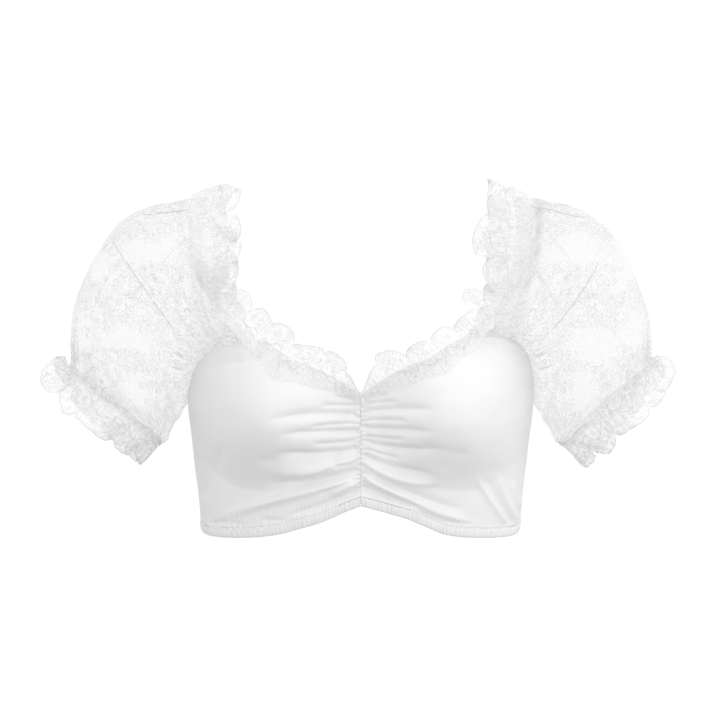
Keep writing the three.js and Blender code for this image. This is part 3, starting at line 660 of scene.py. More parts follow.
def front_grid(side, columns=196, rows=168):
    """A front by angle from the seam and share of its height, folds added along its normals."""
    angle = np.concatenate([np.linspace(0, 40, columns // 2)[:-1], np.linspace(40, 90, columns // 2 + 1)])
    low, high = hem_z(angle, side) + HEM_HEIGHT + SEAM, top_z(angle, side) - SEAM / 2
    share = np.linspace(0, 1, rows)
    z = low[:, None] + (high - low)[:, None] * share
    smooth = body_point(side * angle[:, None], z)
    smooth[..., 0] = side * np.maximum(np.abs(smooth[..., 0]), SEAM / 2)
    smooth[..., 1] = np.minimum(smooth[..., 1], -SEAM / 2)
    normal = grid_normals(smooth, False) * side
    normal[0, :, 0] = 0
    normal[-1, :, 1] = 0
    x, above, below = smooth[..., 0], z - z[:, :1], z[:, -1:] - z
    arc = angle[:, None] * BODY_ARC
    drawn = 0.45 + 0.55 * ease(-0.3, 0.9, swell(arc, 0, 26, 35 + side))
    hem = np.exp(-above / (3 + 7 * drawn)) * gathers(arc, 4.6, 31 + side) * 0.7 * drawn
    hem *= 1 + HEM_DRAWN[side] * ease(38, 58, angle)[:, None]
    tuck = np.exp(-below / 7) * gathers(angle[:, None] * 2.6, 6.0, 41 + side) * 0.5
    slow = 0.45 * swell(x, z, 42, 51 + side) + 0.12 * swell(x, z, 15, 61 + side)
    edge = ease(0, 5, above) * ease(0, 12, below)
    rise = fold_rise(x, z, side) * edge + slow * edge + hem + tuck
    points = smooth + unit(normal) * rise[..., None]
    points[0, :, 0] = side * SEAM / 4
    points[..., 0] += 0.9 * swell(z, 0, 11, 27) * bell(x, 0, 12) * edge
    uv = np.stack([np.broadcast_to(angle[:, None] * 2.3, z.shape), z], -1)
    return points, uv


fronts = {}
for side, word in ((-1, "left"), (1, "right")):
    points, uv = front_grid(side)
    name = f"satin_front_{word}"
    fronts[side] = make_piece(name, points, uv, SATIN, BODY_MIDDLE, thickness=SATIN_THICKNESS)

# %% [markdown]
# The back is one plain piece with a low, curved top. Nothing of it is drawn up, so it has only what any
# worn back has: small gathers above the hem and below the neck elastic, slow swells and three soft folds
# that run in from each side seam.

# %% The back
BACK_FOLDS = [  # angle from centre front and height of both ends, bow, rise, half width
    (104, -196, 150, -222, 5, -1.6, 5), (102, -214, 146, -243, 4, 1.3, 6),
    (256, -200, 214, -226, 5, -1.5, 5), (258, -222, 212, -250, 4, 1.2, 6),
    (118, -268, 160, -258, 2, -1.2, 4), (242, -270, 198, -257, 2, -1.2, 4),
]


def back_grid(columns=300, rows=110):
    """The back by angle, from one side seam round to the other, and share of its height."""
    angle = np.linspace(90, 270, columns)
    from_front = np.where(angle > 180, 360 - angle, angle)
    low, high = hem_z(from_front, 1) + HEM_HEIGHT + SEAM, top_z(from_front, 1) - SEAM / 2
    z = low[:, None] + (high - low)[:, None] * np.linspace(0, 1, rows)
    smooth = body_point(angle[:, None], z)
    smooth[..., 1] = np.maximum(smooth[..., 1], SEAM / 2)
    normal = grid_normals(smooth, False)
    normal[[0, -1], :, 1] = 0
    arc, above, below = angle[:, None] * BODY_ARC + 0 * z, z - z[:, :1], z[:, -1:] - z
    rise = 0.75 * np.exp(-above / 8) * gathers(arc, 4.6, 71)
    rise += 0.7 * np.exp(-below / 12) * gathers(arc, 5.5, 72)
    rise += 0.6 * swell(arc, z, 45, 73) * ease(0, 8, above) * ease(0, 8, below)
    for a0, z0, a1, z1, bow, high_, half in BACK_FOLDS:
        rise += high_ * stroke(arc, z, (a0 * BODY_ARC, z0), (a1 * BODY_ARC, z1), bow, half)
    return smooth + unit(normal) * rise[..., None], np.stack([arc, z], -1)


points, uv = back_grid()
back = make_piece("satin_back", points, uv, SATIN, BODY_MIDDLE, thickness=SATIN_THICKNESS)

# %% [markdown]
# A narrow elastic runs in a casing round the whole hem and puckers it finely, about one pucker every
# 4 mm. The casing is a shallow tube of cloth. Its section is a flat oval, so each stretch is a grid with
# one direction along the hem and the other round that oval, closed at both ends by the side seams.

# %% Hem casings
PUCKER_PITCH = 4.1


def outward(angle, z):
    """Level direction out of the body at an angle."""
    run = body_point(angle + 0.5, z) - body_point(angle - 0.5, z)
    return unit(np.stack([run[..., 1], -run[..., 0], 0 * run[..., 0]], -1))


def casing_grid(start, end, seed):
    """Along the hem by angle; round the casing its outside, a fold at the foot and its inside."""
    columns = int(abs(end - start) * 4.4)
    angle = np.linspace(start, end, columns)
    from_front = np.abs(np.where(angle > 180, 360 - angle, angle))
    low = hem_z(from_front, -1 if start < 0 else 1)
    round_ = np.linspace(0, 2 * np.pi, 17)[:-1]
    pucker = gathers(angle * BODY_ARC, PUCKER_PITCH, seed)
    arc = 0.5 * pucker + 0.35 * swell(angle * BODY_ARC, 0, 14, seed + 1)
    height = HEM_HEIGHT / 2 - 0.1 + 0.25 * pucker
    z = low[:, None] + HEM_HEIGHT / 2 + height[:, None] * np.sin(round_) + 0.25 * arc[:, None]
    middle = CASING_PROUD - CASING_DEPTH / 2
    thick = (CASING_DEPTH / 2 - 0.1) * (1 + 0.3 * arc)
    bulge = np.sign(np.cos(round_)) * np.abs(np.cos(round_)) ** 0.6
    out = middle + thick[:, None] * bulge + 0.4 * np.maximum(bulge, 0) * pucker[:, None]
    base = body_point(angle[:, None], np.clip(z, low[:, None], low[:, None] + HEM_HEIGHT))
    base[..., 2] = z
    points = base + outward(angle[:, None], low[:, None] + 0 * z) * out[..., None]
    uv = np.stack([np.broadcast_to(angle[:, None] * BODY_ARC, z.shape), 8 * round_ / np.pi + 0 * z], -1)
    return points, uv, angle


def closed_tube(name, points, uv, material, inside):
    """A tube round the second direction of a grid, with its two ends drawn together and closed."""
    def cap(ring):
        return ring.mean(0, keepdims=True) + (ring - ring.mean(0, keepdims=True)) * 0.02
    points = np.concatenate([cap(points[0])[None], points, cap(points[-1])[None]])
    uv = np.concatenate([uv[:1], uv, uv[-1:]])
    points = np.swapaxes(points, 0, 1)
    uv = np.swapaxes(np.concatenate([uv, uv[:, :1] + (0, 16)], 1), 0, 1)
    return make_piece(name, points, uv, material, inside, closed=True)


print("puckers round the hem:", round(360 * BODY_ARC / PUCKER_PITCH))

# %% Make the casings
casings = {}
STRETCHES = [("front_left", -90, 0, 81), ("front_right", 0, 90, 82), ("back", 90, 270, 83)]
for word, start, end, seed in STRETCHES:
    points, uv, angle = casing_grid(start, end, seed)
    if word == "back":
        points[..., 1] = np.maximum(points[..., 1], SEAM / 2)
    else:
        points[..., 1] = np.minimum(points[..., 1], -SEAM / 2)
        sign = -1 if word == "front_left" else 1
        points[..., 0] = sign * np.maximum(sign * points[..., 0], SEAM / 2)
    middle = points[len(points) // 2].mean(0)
    casings[word] = closed_tube(f"casing_{word}", points, uv, CASING, middle)

# %% [markdown]
# A sleeve starts at its seam with the front and the back, and at its free neck edge between them. From
# there five sections lead down to the cuff. For each turn round the arm the surface is a smooth curve
# through these six points. Pressed creases, the puff's slow swells and the gathers that the cuff elastic
# makes are then added along the normals.

# %% Form of the sleeves
FRONT_TURN, BACK_TURN = 78.0, -80.0
NECK_EDGE = np.array([  # turn round the sleeve, x, y, z
    (-64, 134, 71, -113), (-48, 141, 63, -86), (-33, 142, 50, -55), (-16, 139, 30, -25), (0, 134.5, 6, -1),
    (15, 135.5, -14, -13), (30, 135, -32, -34), (45, 132.5, -47, -58), (56, 127, -61, -82),
    (65, 117, -72, -100), (72, 103, -80, -114),
])
SLEEVE_SECTIONS = np.array([  # top x, z, underarm x, z, middle y, half depth
    (176, -7.5, 157, -190, 0, 73), (210, -23.5, 161, -197, -2, 71), (234, -56, 165, -204, -4, 67),
    (251, -101, 170, -211.5, -6, 61), (253, -149, 175, -218, -8, 51),
])
DOWNS = np.linspace(0, 1, 6)


def body_edge(angle, side):
    """The upper edge of the front or back."""
    return body_point(angle, top_z(angle, side))


def sleeve_root(turn, side):
    """Where a sleeve starts, by turn: on the front's or back's edge, or on its own neck edge."""
    to_front = lerp(FRONT_CORNER, 90, (turn - FRONT_TURN) / (180 - FRONT_TURN))
    to_back = lerp(BACK_CORNER, 90, (BACK_TURN - turn) / (180 + BACK_TURN))
    sewn = body_edge(np.clip(np.where(turn > 0, to_front, to_back), FRONT_CORNER, BACK_CORNER), side)
    keys = np.concatenate([[BACK_TURN], NECK_EDGE[:, 0], [FRONT_TURN]])
    ends = body_edge(np.array([BACK_CORNER, FRONT_CORNER]), side)
    free = along(keys, np.concatenate([ends[:1], NECK_EDGE[:, 1:], ends[1:]]), turn)
    is_sewn = (turn >= FRONT_TURN) | (turn <= BACK_TURN)
    return np.where(is_sewn[..., None], sewn, free)


def sleeve_point(turn, down, side):
    """A point of the smooth sleeve, drawn on the +X side; turn and down are arrays of one shape."""
    top_x, top_z_, under_x, under_z, middle, half = SLEEVE_SECTIONS.T
    c, s = np.cos(np.radians(turn))[..., None], np.sin(np.radians(turn))[..., None]
    rings = np.stack([
        (top_x + under_x) / 2 + c * (top_x - under_x) / 2,
        middle - s * half,
        (top_z_ + under_z) / 2 + c * (top_z_ - under_z) / 2,
    ], -1)
    knots = np.concatenate([sleeve_root(turn, side)[..., None, :], rings], -2)
    return (along(DOWNS, np.eye(6), down)[..., None] * knots).sum(-2)


print("top of the shoulder:", sleeve_point(np.array(0.0), np.array(0.0), 1).round(1))

# %% [markdown]
# The photograph shows lines pressed into the sleeves, zones dense with motifs and patches of bare net.
# The lines are listed in a table, as seen from the front. A painted image could hold the zones,
# but it would fit one size only, so each zone is a formula over the sleeve. It writes an attribute on
# the mesh, and the lace material reads it: floral, how bunched the net is, where outlines are shaded and
# the distance off each sharp crease. All but floral also darken the colour as painted shade.

# %% Creases and motif zones of the sleeves
PRESSED = {  # start x, z, end x, z, bow, rise, half width, as seen from the front
    -1: [
        (216, -41, 159, -121, 0, 1.3, 2.2), (150, -37, 197, -90, 1, 0.9, 2.2),
        (158, -100, 140, -128, 1, 0.8, 2.2), (188, -19, 152, -14, 0, -0.8, 1.4),
        (214, -36, 227, -84, -2, -1.8, 3.4), (226, -76, 238, -140, 1, -1.8, 3.2),
        (176, -4, 146, -9, 0, -2.6, 2), (160, -64, 146, -128, -3, -1, 3), (140, -86, 158, -150, 3, 0.9, 3),
        (200, -150, 186, -196, 0, -1.2, 4), (232, -120, 206, -168, 2, 1.2, 5),
        (150, -100, 166, -160, 0, 1, 4), (196, -118, 168, -186, 2, 0.9, 4),
    ],
    1: [
        (206, -60, 164, -120, 2, 1.3, 2.2), (156, -25, 190, -72, 0, 0.9, 2.2),
        (147, -60, 168, -98, 0, 0.8, 2.2), (196, -21, 148, -9, 0, -0.8, 1.4),
        (216, -40, 230, -92, -2, -1.5, 3.4), (228, -80, 240, -140, 1, -1.4, 3.2),
        (178, -6, 148, -11, 0, -2.4, 2), (146, -84, 160, -130, -2, -1.1, 2.4),
        (140, -98, 156, -150, 2, 1, 3), (202, -150, 188, -196, 0, -1.2, 4),
        (232, -118, 206, -170, 2, 1.1, 5), (186, -80, 176, -150, 0, 0.8, 4),
    ],
}
FLORAL_SHOWS, OUTLINE_SHADE_SHOWS = {-1: 1, 1: 0.7}, {-1: 1, 1: 0.6}  # the motifs are fainter on the lit side
PLAIN_ZONES = [  # x, z, half width, half height of a patch of bare net
    (187, -49, 28, 13), (203, -130, 27, 12), (230, -62, 9, 26), (196, -172, 12, 17), (240, -116, 6, 18),
]


def crease_rise(points, side):
    """The pressed creases on the front half; on the back half the other sleeve's, a little weaker."""
    x, y, z = np.abs(points[..., 0]), points[..., 1], points[..., 2]
    front = ease(6, -14, y)
    rise = np.zeros_like(x)
    for x0, z0, x1, z1, bow, high, half in PRESSED[side]:
        line = high * stroke(x, z, (x0, z0), (x1, z1), bow, half)
        rise += line * front
    for x0, z0, x1, z1, bow, high, half in PRESSED[-side][:10]:
        rise += 0.8 * high * stroke(x, z, (x0, z0), (x1, z1), bow, half) * (1 - front)
    return rise


def floral_zones(points, down, side):
    """1 where the sleeve is worked with motifs, 0 on the patches of bare net."""
    x, z = np.abs(points[..., 0]), points[..., 2]
    drift = 6 * swell(x, z, 40, 5 + side) + 5 * swell(x, z, 14, 7 + side)
    zone = np.ones_like(x)
    for cx, cz, wide, high in PLAIN_ZONES:
        far = np.hypot((x - cx + drift) / wide, (z - cz - drift) / high)
        zone = np.minimum(zone, ease(0.6, 1.3, far))
    return np.maximum(zone, ease(0.88, 0.96, down))


def bunched_and_shaded_zones(points, turns, down, side):
    """Where the net is drawn together, denser and darkened by painted shade: beside the neck frill, on the
    shoulder top, round the armhole, under the arm and by the cuff.
    """
    x, z = np.abs(points[..., 0]), points[..., 2]
    uneven = 0.75 + 0.25 * swell(x, z, 12, 301 + side)
    along_neck = ease(-70, -40, turns) * (1 - ease(66, 76, turns))
    beside_neck = bell(down, 0.098, 0.024) * along_neck * (1.1 if side > 0 else 0.2)
    top = bell(turns, 10, 4) * ease(148, 156, x) * (1 - ease(180, 194, x)) * 1.1
    root = ease(62, 80, turns) * (1 - ease(0.05, 0.14, down)) * (1 - ease(120, 170, turns)) * 0.75
    under = ease(128, 150, np.abs(turns)) * ease(0.3, 0.5, down) * lerp(0.35, 0.1, ease(0.75, 0.9, down))
    cuff = ease(0.86, 0.97, down + 0.03 * swell(x, z, 16, 305 + side))
    cuff = cuff * lerp(0.5, 0.1, ease(130, 165, np.abs(turns)))
    return np.maximum.reduce([beside_neck, top, root, under, cuff]) * uneven


def outline_shade_zones(points, turns, down, side):
    """Painted shade on the motifs' outlines: round the armhole, on the shoulder, by the cuff and halfway
    down the front.
    """
    x, z = np.abs(points[..., 0]), points[..., 2]
    drift = 0.06 * swell(x, z, 22, 311 + side)
    armhole = ease(50, 66, turns) * (1 - ease(0.16, 0.3, down + drift)) * (1 - ease(120, 165, turns)) * 0.5
    shoulder = bell(down, 0.16, 0.09) * bell(turns, 22, 16) * 0.4
    cuff = ease(0.84, 0.95, down + drift) * 0.3
    middle = bell(down, 0.52, 0.1) * ease(0, 12, turns) * (1 - ease(70, 90, turns)) * 0.3
    return np.maximum.reduce([armhole, shoulder, cuff, middle])


def crease_distance(points, side, which):
    """Distance off one of the four sharpest creases, on the front half; far away beyond its ends."""
    x0, z0, x1, z1, bow, *_ = PRESSED[side][which]
    share, off = beside(np.abs(points[..., 0]), points[..., 2], (x0, z0), (x1, z1), bow)
    beyond = 1 - ease(-0.02, 0.06, share) * (1 - ease(0.94, 1.02, share)) * ease(6, -6, points[..., 1])
    return off + np.where(off < 0, -1, 1) * 3 * beyond


def arc_length(points, axis):
    """Distance run so far along one direction of a grid."""
    steps = np.linalg.norm(np.diff(points, axis=axis), axis=-1)
    return np.insert(np.cumsum(steps, axis), 0, 0, axis)


def cuff_frame():
    """Centre, long and short radius and the two directions of the sleeve's last ring."""
    top_x, top_z_, under_x, under_z, middle, half = SLEEVE_SECTIONS[-1]
    top, under = np.array([top_x, middle, top_z_]), np.array([under_x, middle, under_z])
    out = unit(top - under)
    return (top + under) / 2, np.linalg.norm(top - under) / 2, half, out, np.array([out[2], 0, -out[0]])


def cuff_sag(turn, side):
    """How far the elastic has slid down the arm at a turn from -180 to 180, in millimetres."""
    if side < 0:
        slid = -6 * bell(turn, 132, 34) - 1.5 * bell(turn, 90, 12)
    else:
        slid = 8 * bell(turn, 74, 28) - 2.5 * bell(turn, 122, 14)
    return slid + 0.5 * np.sin(np.radians(turn) * 7 + side)


def sleeve_grid(side, columns=360, rows=160):
    """A sleeve by turn and by share of the way to the cuff, drawn on +X and then mirrored."""
    turn = np.linspace(-180, 180, columns + 1)[:-1]
    down = np.linspace(0, 1, rows)
    turns, downs = np.meshgrid(turn, down, indexing="ij")
    first = sleeve_point(turn, 0 * turn + 0.1, side) - sleeve_point(turn, 0 * turn, side)
    is_sewn = (turn >= FRONT_TURN) | (turn <= BACK_TURN)
    start = np.where(is_sewn, SEAM / (10 * np.linalg.norm(first, axis=-1)), 0)[:, None]
    smooth = sleeve_point(turns, start + downs * (1 - start), side)
    normal = grid_normals(smooth, True)
    arc = turns * SLEEVE_ARC
    gather = ease(0.62, 0.95, downs)
    flute = np.cos(np.radians(turns) * 12 + 0.8 * swell(turns, 0, 70, 91))
    rise = 2.0 * gather * (1 - 0.65 * ease(0.93, 1, downs)) * flute
    rise += 1.1 * ease(0.8, 1, downs) * (gathers(arc, 6.2, 92 + side) - 0.2)
    rise += 0.35 * (1 - ease(0.02, 0.2, downs)) * (gathers(turns * 1.9, 8.0, 94 + side) - 0.3)
    rise += 1.1 * swell(arc, downs * 150, 60, 96 + side) * ease(0, 0.2, downs) * (1 - ease(0.85, 1, downs))
    rise += 0.35 * swell(arc, downs * 150, 18, 98 + side) * ease(0, 0.1, downs)
    mirrored = smooth * (side, 1, 1)
    rise += crease_rise(mirrored, side) * ease(0.02, 0.08, downs)
    rise *= ease(-0.02, 0.03, downs)
    over = ease(0.7, 1, downs) * cuff_sag(turns, side) + 3.2 * ease(0.975, 1, downs)
    points = (smooth + normal * rise[..., None] + over[..., None] * cuff_frame()[4]) * (side, 1, 1)
    ring = np.append(smooth, smooth[:1], 0)
    around, along_arm = arc_length(ring, 0), arc_length(ring, 1)
    front_line = np.searchsorted(turn, 50)
    uv = np.stack([around - around[front_line], along_arm[:, -1:] - along_arm], -1)
    marks = {"bunched": bunched_and_shaded_zones(mirrored, turns, downs, side)}
    marks["floral"] = floral_zones(mirrored, downs, side) * FLORAL_SHOWS[side]
    marks["outline_shade"] = outline_shade_zones(mirrored, turns, downs, side) * OUTLINE_SHADE_SHOWS[side]
    for which, label in enumerate(("crease_a", "crease_b", "crease_c", "crease_d")):
        marks[label] = crease_distance(mirrored, side, which)
    return points, uv, marks


sleeves = {}
for side, word in ((-1, "left"), (1, "right")):
    points, uv, marks = sleeve_grid(side)
    middle = (side * 190, 0, -110)
    sleeves[side] = make_piece(
        f"lace_sleeve_{word}", points, uv, SLEEVE_LACE, middle, closed=True, marks=marks
    )

# %% [markdown]
# The cuff is a narrow band of lace bunched over elastic, and below it the lace runs on as a frill whose
# edge is scalloped. Both go round the arm on the sleeve's last section. The band is a closed ring of
# small puckers. The frill flares out on the upper side of the arm and turns in below it, and swings in
# and out nine times on its way round. The elastic sits unevenly, as it does on an arm, so the sleeve's
# end, the band and the frill all ask cuff_sag how far it has slid.

# %% Cuffs
CUFF_FRILL = {
    "free": 16, "inner_free": 11, "rise": 3, "scallop": 11, "waves": 9, "flare": 46, "inner_flare": -14,
}
FIRST_LOBE = {-1: 13, 1: 4}  # turn of one lobe's middle
TOP_FLARE_LESS = {-1: 6, 1: 12}  # degrees that the frill flares less at the top of the arm
LOBE_WIDTH = 24.0  # width of one scallop, laid flat
CUFF_TRIM = {  # turn round the cuff, and how much further the frill reaches there
    -1: [
        (-60, 0), (-40, -4), (-20, -8), (0, -4), (20, -3), (40, -7), (52, -5), (64, 7), (72, 6), (82, 2),
        (120, 3), (140, 1), (160, 0), (180, 0),
    ],
    1: [
        (-60, 0), (-36, -7), (-14, -12), (-4, -10), (6, -5), (16, -6), (40, -10), (50, -7), (58, -5),
        (68, -8), (80, -8), (90, -8), (104, -1), (114, 3), (122, 6), (130, 0), (142, 2), (156, 2),
        (180, 0),
    ],
}


def lobe(phase):
    """Round lobes with a narrow notch between them, from -1 to 1, highest where phase is 0."""
    return 2 * np.sqrt(np.abs(np.cos(phase / 2))) - 1


def picots(phase, each):
    """Small loops along a scalloped edge, so many for each lobe, half a millimetre high."""
    return 0.5 * np.abs(np.sin(phase * each / 2))


def cuff_point(turn, out, down):
    """A point round the cuff, some way out from its ring and some way down the arm, on the +X side."""
    centre, half_length, half_depth, along_out, along_down = cuff_frame()
    angle = np.radians(turn)
    across = (np.cos(angle) * (half_length + out))[..., None] * along_out
    front = (np.sin(angle) * (half_depth + out))[..., None] * np.array([0, -1, 0])
    return centre + across + front + np.asarray(down)[..., None] * along_down


def cuff_band(side, columns=540):
    """The band: a flat oval section carried round the cuff, pinched by the elastic's puckers."""
    turn = np.linspace(-180, 180, columns + 1)[:-1][:, None]
    round_ = np.linspace(0, 2 * np.pi, 15)[:-1][None]
    pucker = gathers(turn * CUFF_ARC, 9, 100 + side) * (0.5 + 0.5 * swell(turn, 0, 24, 105 + side))
    bulge = np.sign(np.cos(round_)) * np.abs(np.cos(round_)) ** 0.8
    out = -1.3 + 0.6 * bulge + 0.3 * pucker * (1 + 0.3 * bulge)
    down = SEAM + CUFF_HEIGHT / 2 + (CUFF_HEIGHT / 2 - 0.1) * np.sin(round_) + 0.25 * pucker
    down = down + cuff_sag(turn, side)
    points = cuff_point(turn + 0 * down, out, down) * (side, 1, 1)
    wide = np.append(turn, turn[:1] + 360, 0) * FRILL_ARC + 0 * np.append(down, down[:1], 0)
    uv = np.stack([wide, 0 * wide + 6 * round_ / np.pi], -1)
    return points, uv


def cuff_frill(side, columns=900, rows=30):
    """The frill: rows from the band to the free edge, swung in and out by the waves."""
    f = CUFF_FRILL
    turn = np.linspace(-180, 180, columns + 1)[:-1][:, None]
    share = np.linspace(0, 1, rows)[None]
    phase = np.radians(turn - FIRST_LOBE[side]) * f["waves"]
    cycle = (phase / (2 * np.pi) + 0.5) % 1 - 0.5
    dome = np.sqrt(1 - 3.9 * cycle**2)
    outer = (1 + np.cos(np.radians(turn))) / 2
    spread = lerp(f["inner_flare"], f["flare"], outer) - TOP_FLARE_LESS[side] * bell(turn, 0, 26)
    spread = np.radians(spread)
    uneven = swell(turn, 0, 75, 110 + side)
    reach = lerp(f["inner_free"], f["free"], outer) + f["scallop"] * dome + 1.2 * uneven
    reach = reach + picots(phase, 6) + 2.4 - 6 * bell(turn, 0, 26)
    trim = np.array(CUFF_TRIM[side], float)
    reach = reach + np.interp(turn, trim[:, 0], trim[:, 1])
    length = share * reach
    arc = turn * FRILL_ARC
    fine = gathers(turn * CUFF_ARC, 6.5, 112 + side) * ease(0, 0.2, share) * (1 - ease(0.3, 0.9, share))
    swing = f["rise"] * ease(0, 0.8, share) * (1 + 0.3 * uneven) * np.cos(phase) + 0.8 * fine
    drift = np.radians(turn) * 4 + 1.4 * swell(turn, 0, 120, 114 + side, count=3)
    swing += 2.6 * ease(0, 1, share) * np.cos(drift)
    swing += 0.8 * ease(0.1, 0.9, share) * swell(arc, length, 12, 116 + side)
    fan = -26 * ease(0, 0.7, share) * ((turn - 6) / 20) * bell(turn, 6, 24)
    swing += 0.66 * fan
    sideways = 2.4 * ease(0.15, 1, share) * np.sin(phase) + 0.4 * share * swell(arc, length, 22, 118 + side)
    down = CUFF_HEIGHT / 2 + 1.2 + cuff_sag(turn, side) + length * np.cos(spread) - 0.75 * fan
    points = cuff_point(turn + sideways, length * np.sin(spread) + swing, down)
    # gathered net by the band: denser, and darker by painted shade
    drawn = (1 - ease(0, 0.5, share + 0.15 * swell(arc, length, 14, 132 + side))) * 0.12
    drawn = drawn * (1 - ease(120, 160, np.abs(turn)))
    marks = {"lobe_across": cycle * LOBE_WIDTH, "from_edge": (1 - share) * reach, "bunched": drawn}
    wide = np.append(turn, turn[:1] + 360, 0) * 1.5 + 0 * share
    uv = np.stack([wide, np.append(length, length[:1], 0)], -1)
    return points * (side, 1, 1), uv, marks


bands, cuff_frills = {}, {}
for side, word in ((-1, "left"), (1, "right")):
    centre = cuff_frame()[0] * (side, 1, 1)
    points, uv = cuff_band(side)
    uv = np.concatenate([uv, uv[:, :1] + (0, 12)], 1)
    bands[side] = (points, uv, centre)
    points, uv, marks = cuff_frill(side)
    cuff_frills[side] = make_piece(
        f"lace_cuff_frill_{word}", points, uv, FRILL_LACE, centre, closed=True, marks=marks
    )

# %% [markdown]
# A band is closed both ways, like a tyre, so it can't be one of the grids above, which have two free
# edges. Its last row is simply joined to its first, and each puckered ring has no edge at all.

# %% Bands closed both ways


def make_ring(name, points, uv, material, centre):
    """A grid closed in both directions: the mesh of the open grid with one more row on top of the first."""
    looped = np.concatenate([points, points[:, :1]], 1)
    piece = make_piece(name, looped, uv, material, centre, closed=True)
    doubles = piece.modifiers.new("Join", "WELD")
    doubles.merge_threshold = 0.001 * MM
    return piece


cuff_bands = {}
for side, word in ((-1, "left"), (1, "right")):
    cuff_bands[side] = make_ring(f"lace_cuff_band_{word}", *bands[side][:2], BAND_LACE, bands[side][2])

# %% [markdown]
# The neck frill is one long strip of lace edging on each side, from the point of the neckline over the
# shoulder to centre back. Its foot lies flat over the neck elastic and its free part stands up and
# leans out. First the neckline is worked out with its own directions, up out of the edge and out from
# the cloth, evened out over 18 mm to either side. The strip's rows then follow it. No rule would put
# each lobe where it fell on the real blouse, so the lobes' middles and reaches are tables.

# %% The neckline's edge and gathering line
FOOT, CENTRE_FOOT, FOOT_LIFT = 14.0, 7.0, 2.0
DEEPER_FOOT = {-1: 7, 1: 4}  # how much further the foot reaches down over the middle of a cup
EVENED = 18.0  # distance to either side over which the directions are evened out
LOBES = {  # distance along the neckline of each lobe's middle, on the viewer's left and right
    -1: (
        10, 30, 57, 86, 114, 144, 179, 205, 230, 268, 299, 327, 356, 384, 413, 441, 470, 498, 527, 555, 584,
    ),
    1: (12, 35, 62, 88, 116, 144, 178, 221, 270, 300, 329, 358, 387, 416, 445, 474, 503, 532, 560, 588),
}
TRIM = {  # distance along the neckline, and how much further the frill reaches there
    -1: [
        (0, 0), (30, -1), (45, 4), (62, -3), (75, 0), (88, 3), (102, 2), (116, 1), (130, -7), (146, -4),
        (156, -4), (168, -12), (182, -7), (195, -5), (210, 0), (225, -3), (238, -4), (247, -9), (258, 0),
        (285, 0), (300, -12), (318, -4), (335, 0), (620, 0),
    ],
    1: [
        (0, 0), (30, 3), (45, -3), (60, -5), (78, -3), (92, -2), (104, -5), (118, -9), (128, -8), (137, 2),
        (147, 4), (155, -6), (163, -14), (170, -12), (178, -8), (188, -7), (197, -5), (205, 6), (218, 7),
        (232, 3), (245, 0), (255, -4), (270, -9), (285, -4), (300, -5), (325, 0), (620, 0),
    ],
}
SHOULDER = 272.0
NECK_FRILL = {"free": 25.5, "front_free": 13.5, "rise": 2.6, "scallop": 3.6, "lean": 0.3}


def on_body(angle, side):
    """Edge and gathering line where the frill is sewn to the front or to the back, always square."""
    edge = body_edge(angle, side)
    step = np.where(angle > 90, -1, 1)
    slope = body_edge(np.minimum(angle + 0.5, 180), side) - body_edge(np.maximum(angle - 0.5, 0), side)
    slope = unit(slope[:, [0, 2]]) * step[:, None]
    lean = ease(0, 26, edge[:, 0])
    away = unit(np.stack([slope[:, 1] * lean, -np.maximum(slope[:, 0], 0.2)], -1))
    foot = lerp(CENTRE_FOOT, FOOT, ease(0, 30, edge[:, 0]))
    foot = foot + DEEPER_FOOT[side] * bell(edge[:, 0], 62, 26) * (angle < 90)
    x, z = edge[:, 0] + foot * away[:, 0], edge[:, 2] + foot * away[:, 1]
    return edge, np.stack([x, body_depth(x, z, angle < 90), z], -1), np.ones_like(angle)


def on_sleeve(turn, side):
    """Edge and gathering line on the sleeve, one foot's depth square off, and how square it is."""
    edge = sleeve_point(turn, 0 * turn, side)
    ahead = sleeve_point(turn + 0.5, 0 * turn, side) - sleeve_point(turn - 0.5, 0 * turn, side)
    degree = np.linalg.norm(ahead, axis=-1)
    inner = sleeve_point(turn, 0 * turn + 0.02, side) - edge
    with_edge = (inner * unit(ahead)).sum(-1)
    square = np.sqrt(np.maximum((inner**2).sum(-1) - with_edge**2, 0.01))
    steps = FOOT / square
    gather = sleeve_point(turn - np.clip(steps * with_edge / degree, -20, 20), 0.02 * steps, side)
    return edge, gather, square / np.linalg.norm(inner, axis=-1)


def neck_rail(side, steps):
    """The whole neckline in even steps: distance, edge, gathering line, up and out."""
    parts = [
        on_body(np.linspace(0.1, FRONT_CORNER - 1, 200), side),
        on_sleeve(np.linspace(FRONT_TURN - 3, BACK_TURN + 3, 500), side),
        on_body(np.linspace(BACK_CORNER + 1, 179.9, 220), side),
    ]
    edge, gather, square = (np.concatenate(columns) for columns in zip(*parts))
    far = np.append(0, np.cumsum(np.linalg.norm(np.diff(edge, axis=0), axis=-1)))
    sure = square > 0.6  # elsewhere the sleeve runs too nearly along its edge, and the foot is carried over
    foot = np.stack([np.interp(far, far[sure], column) for column in (gather - edge)[sure].T], -1)
    line = np.concatenate([edge, edge + foot], -1)
    at = np.linspace(0, far[-1], steps)
    even = np.stack([np.interp(at, far, column) for column in line.T], -1)
    edge, gather = even[:, :3], even[:, 3:]
    reach = round(EVENED * steps / far[-1])
    padded = np.pad(edge - gather, ((reach, reach), (0, 0)), mode="edge")
    up = unit(np.stack([np.convolve(c, np.ones(2 * reach + 1), "valid") for c in padded.T], -1))
    i = np.arange(steps)
    ahead = unit(edge[np.minimum(i + reach, steps - 1)] - edge[np.maximum(i - reach, 0)])
    up = unit(up - (up * ahead).sum(-1, keepdims=True) * ahead)
    out = -unit(np.cross(up, ahead))
    return at, edge, gather, up, out


at, *_ = neck_rail(1, 600)
print("neckline on one side:", round(float(at[-1])), "mm")

# %% [markdown]
# The strip has two parts that meet at the neckline's edge. The foot is gathered flat onto the cloth in
# small pleats. The free part stands up, swings in and out once for each lobe, and ends in scallops. A
# cloth simulation would let it fall as it likes, so the waves are sums of cosines along the strip.

# %% Neck frills


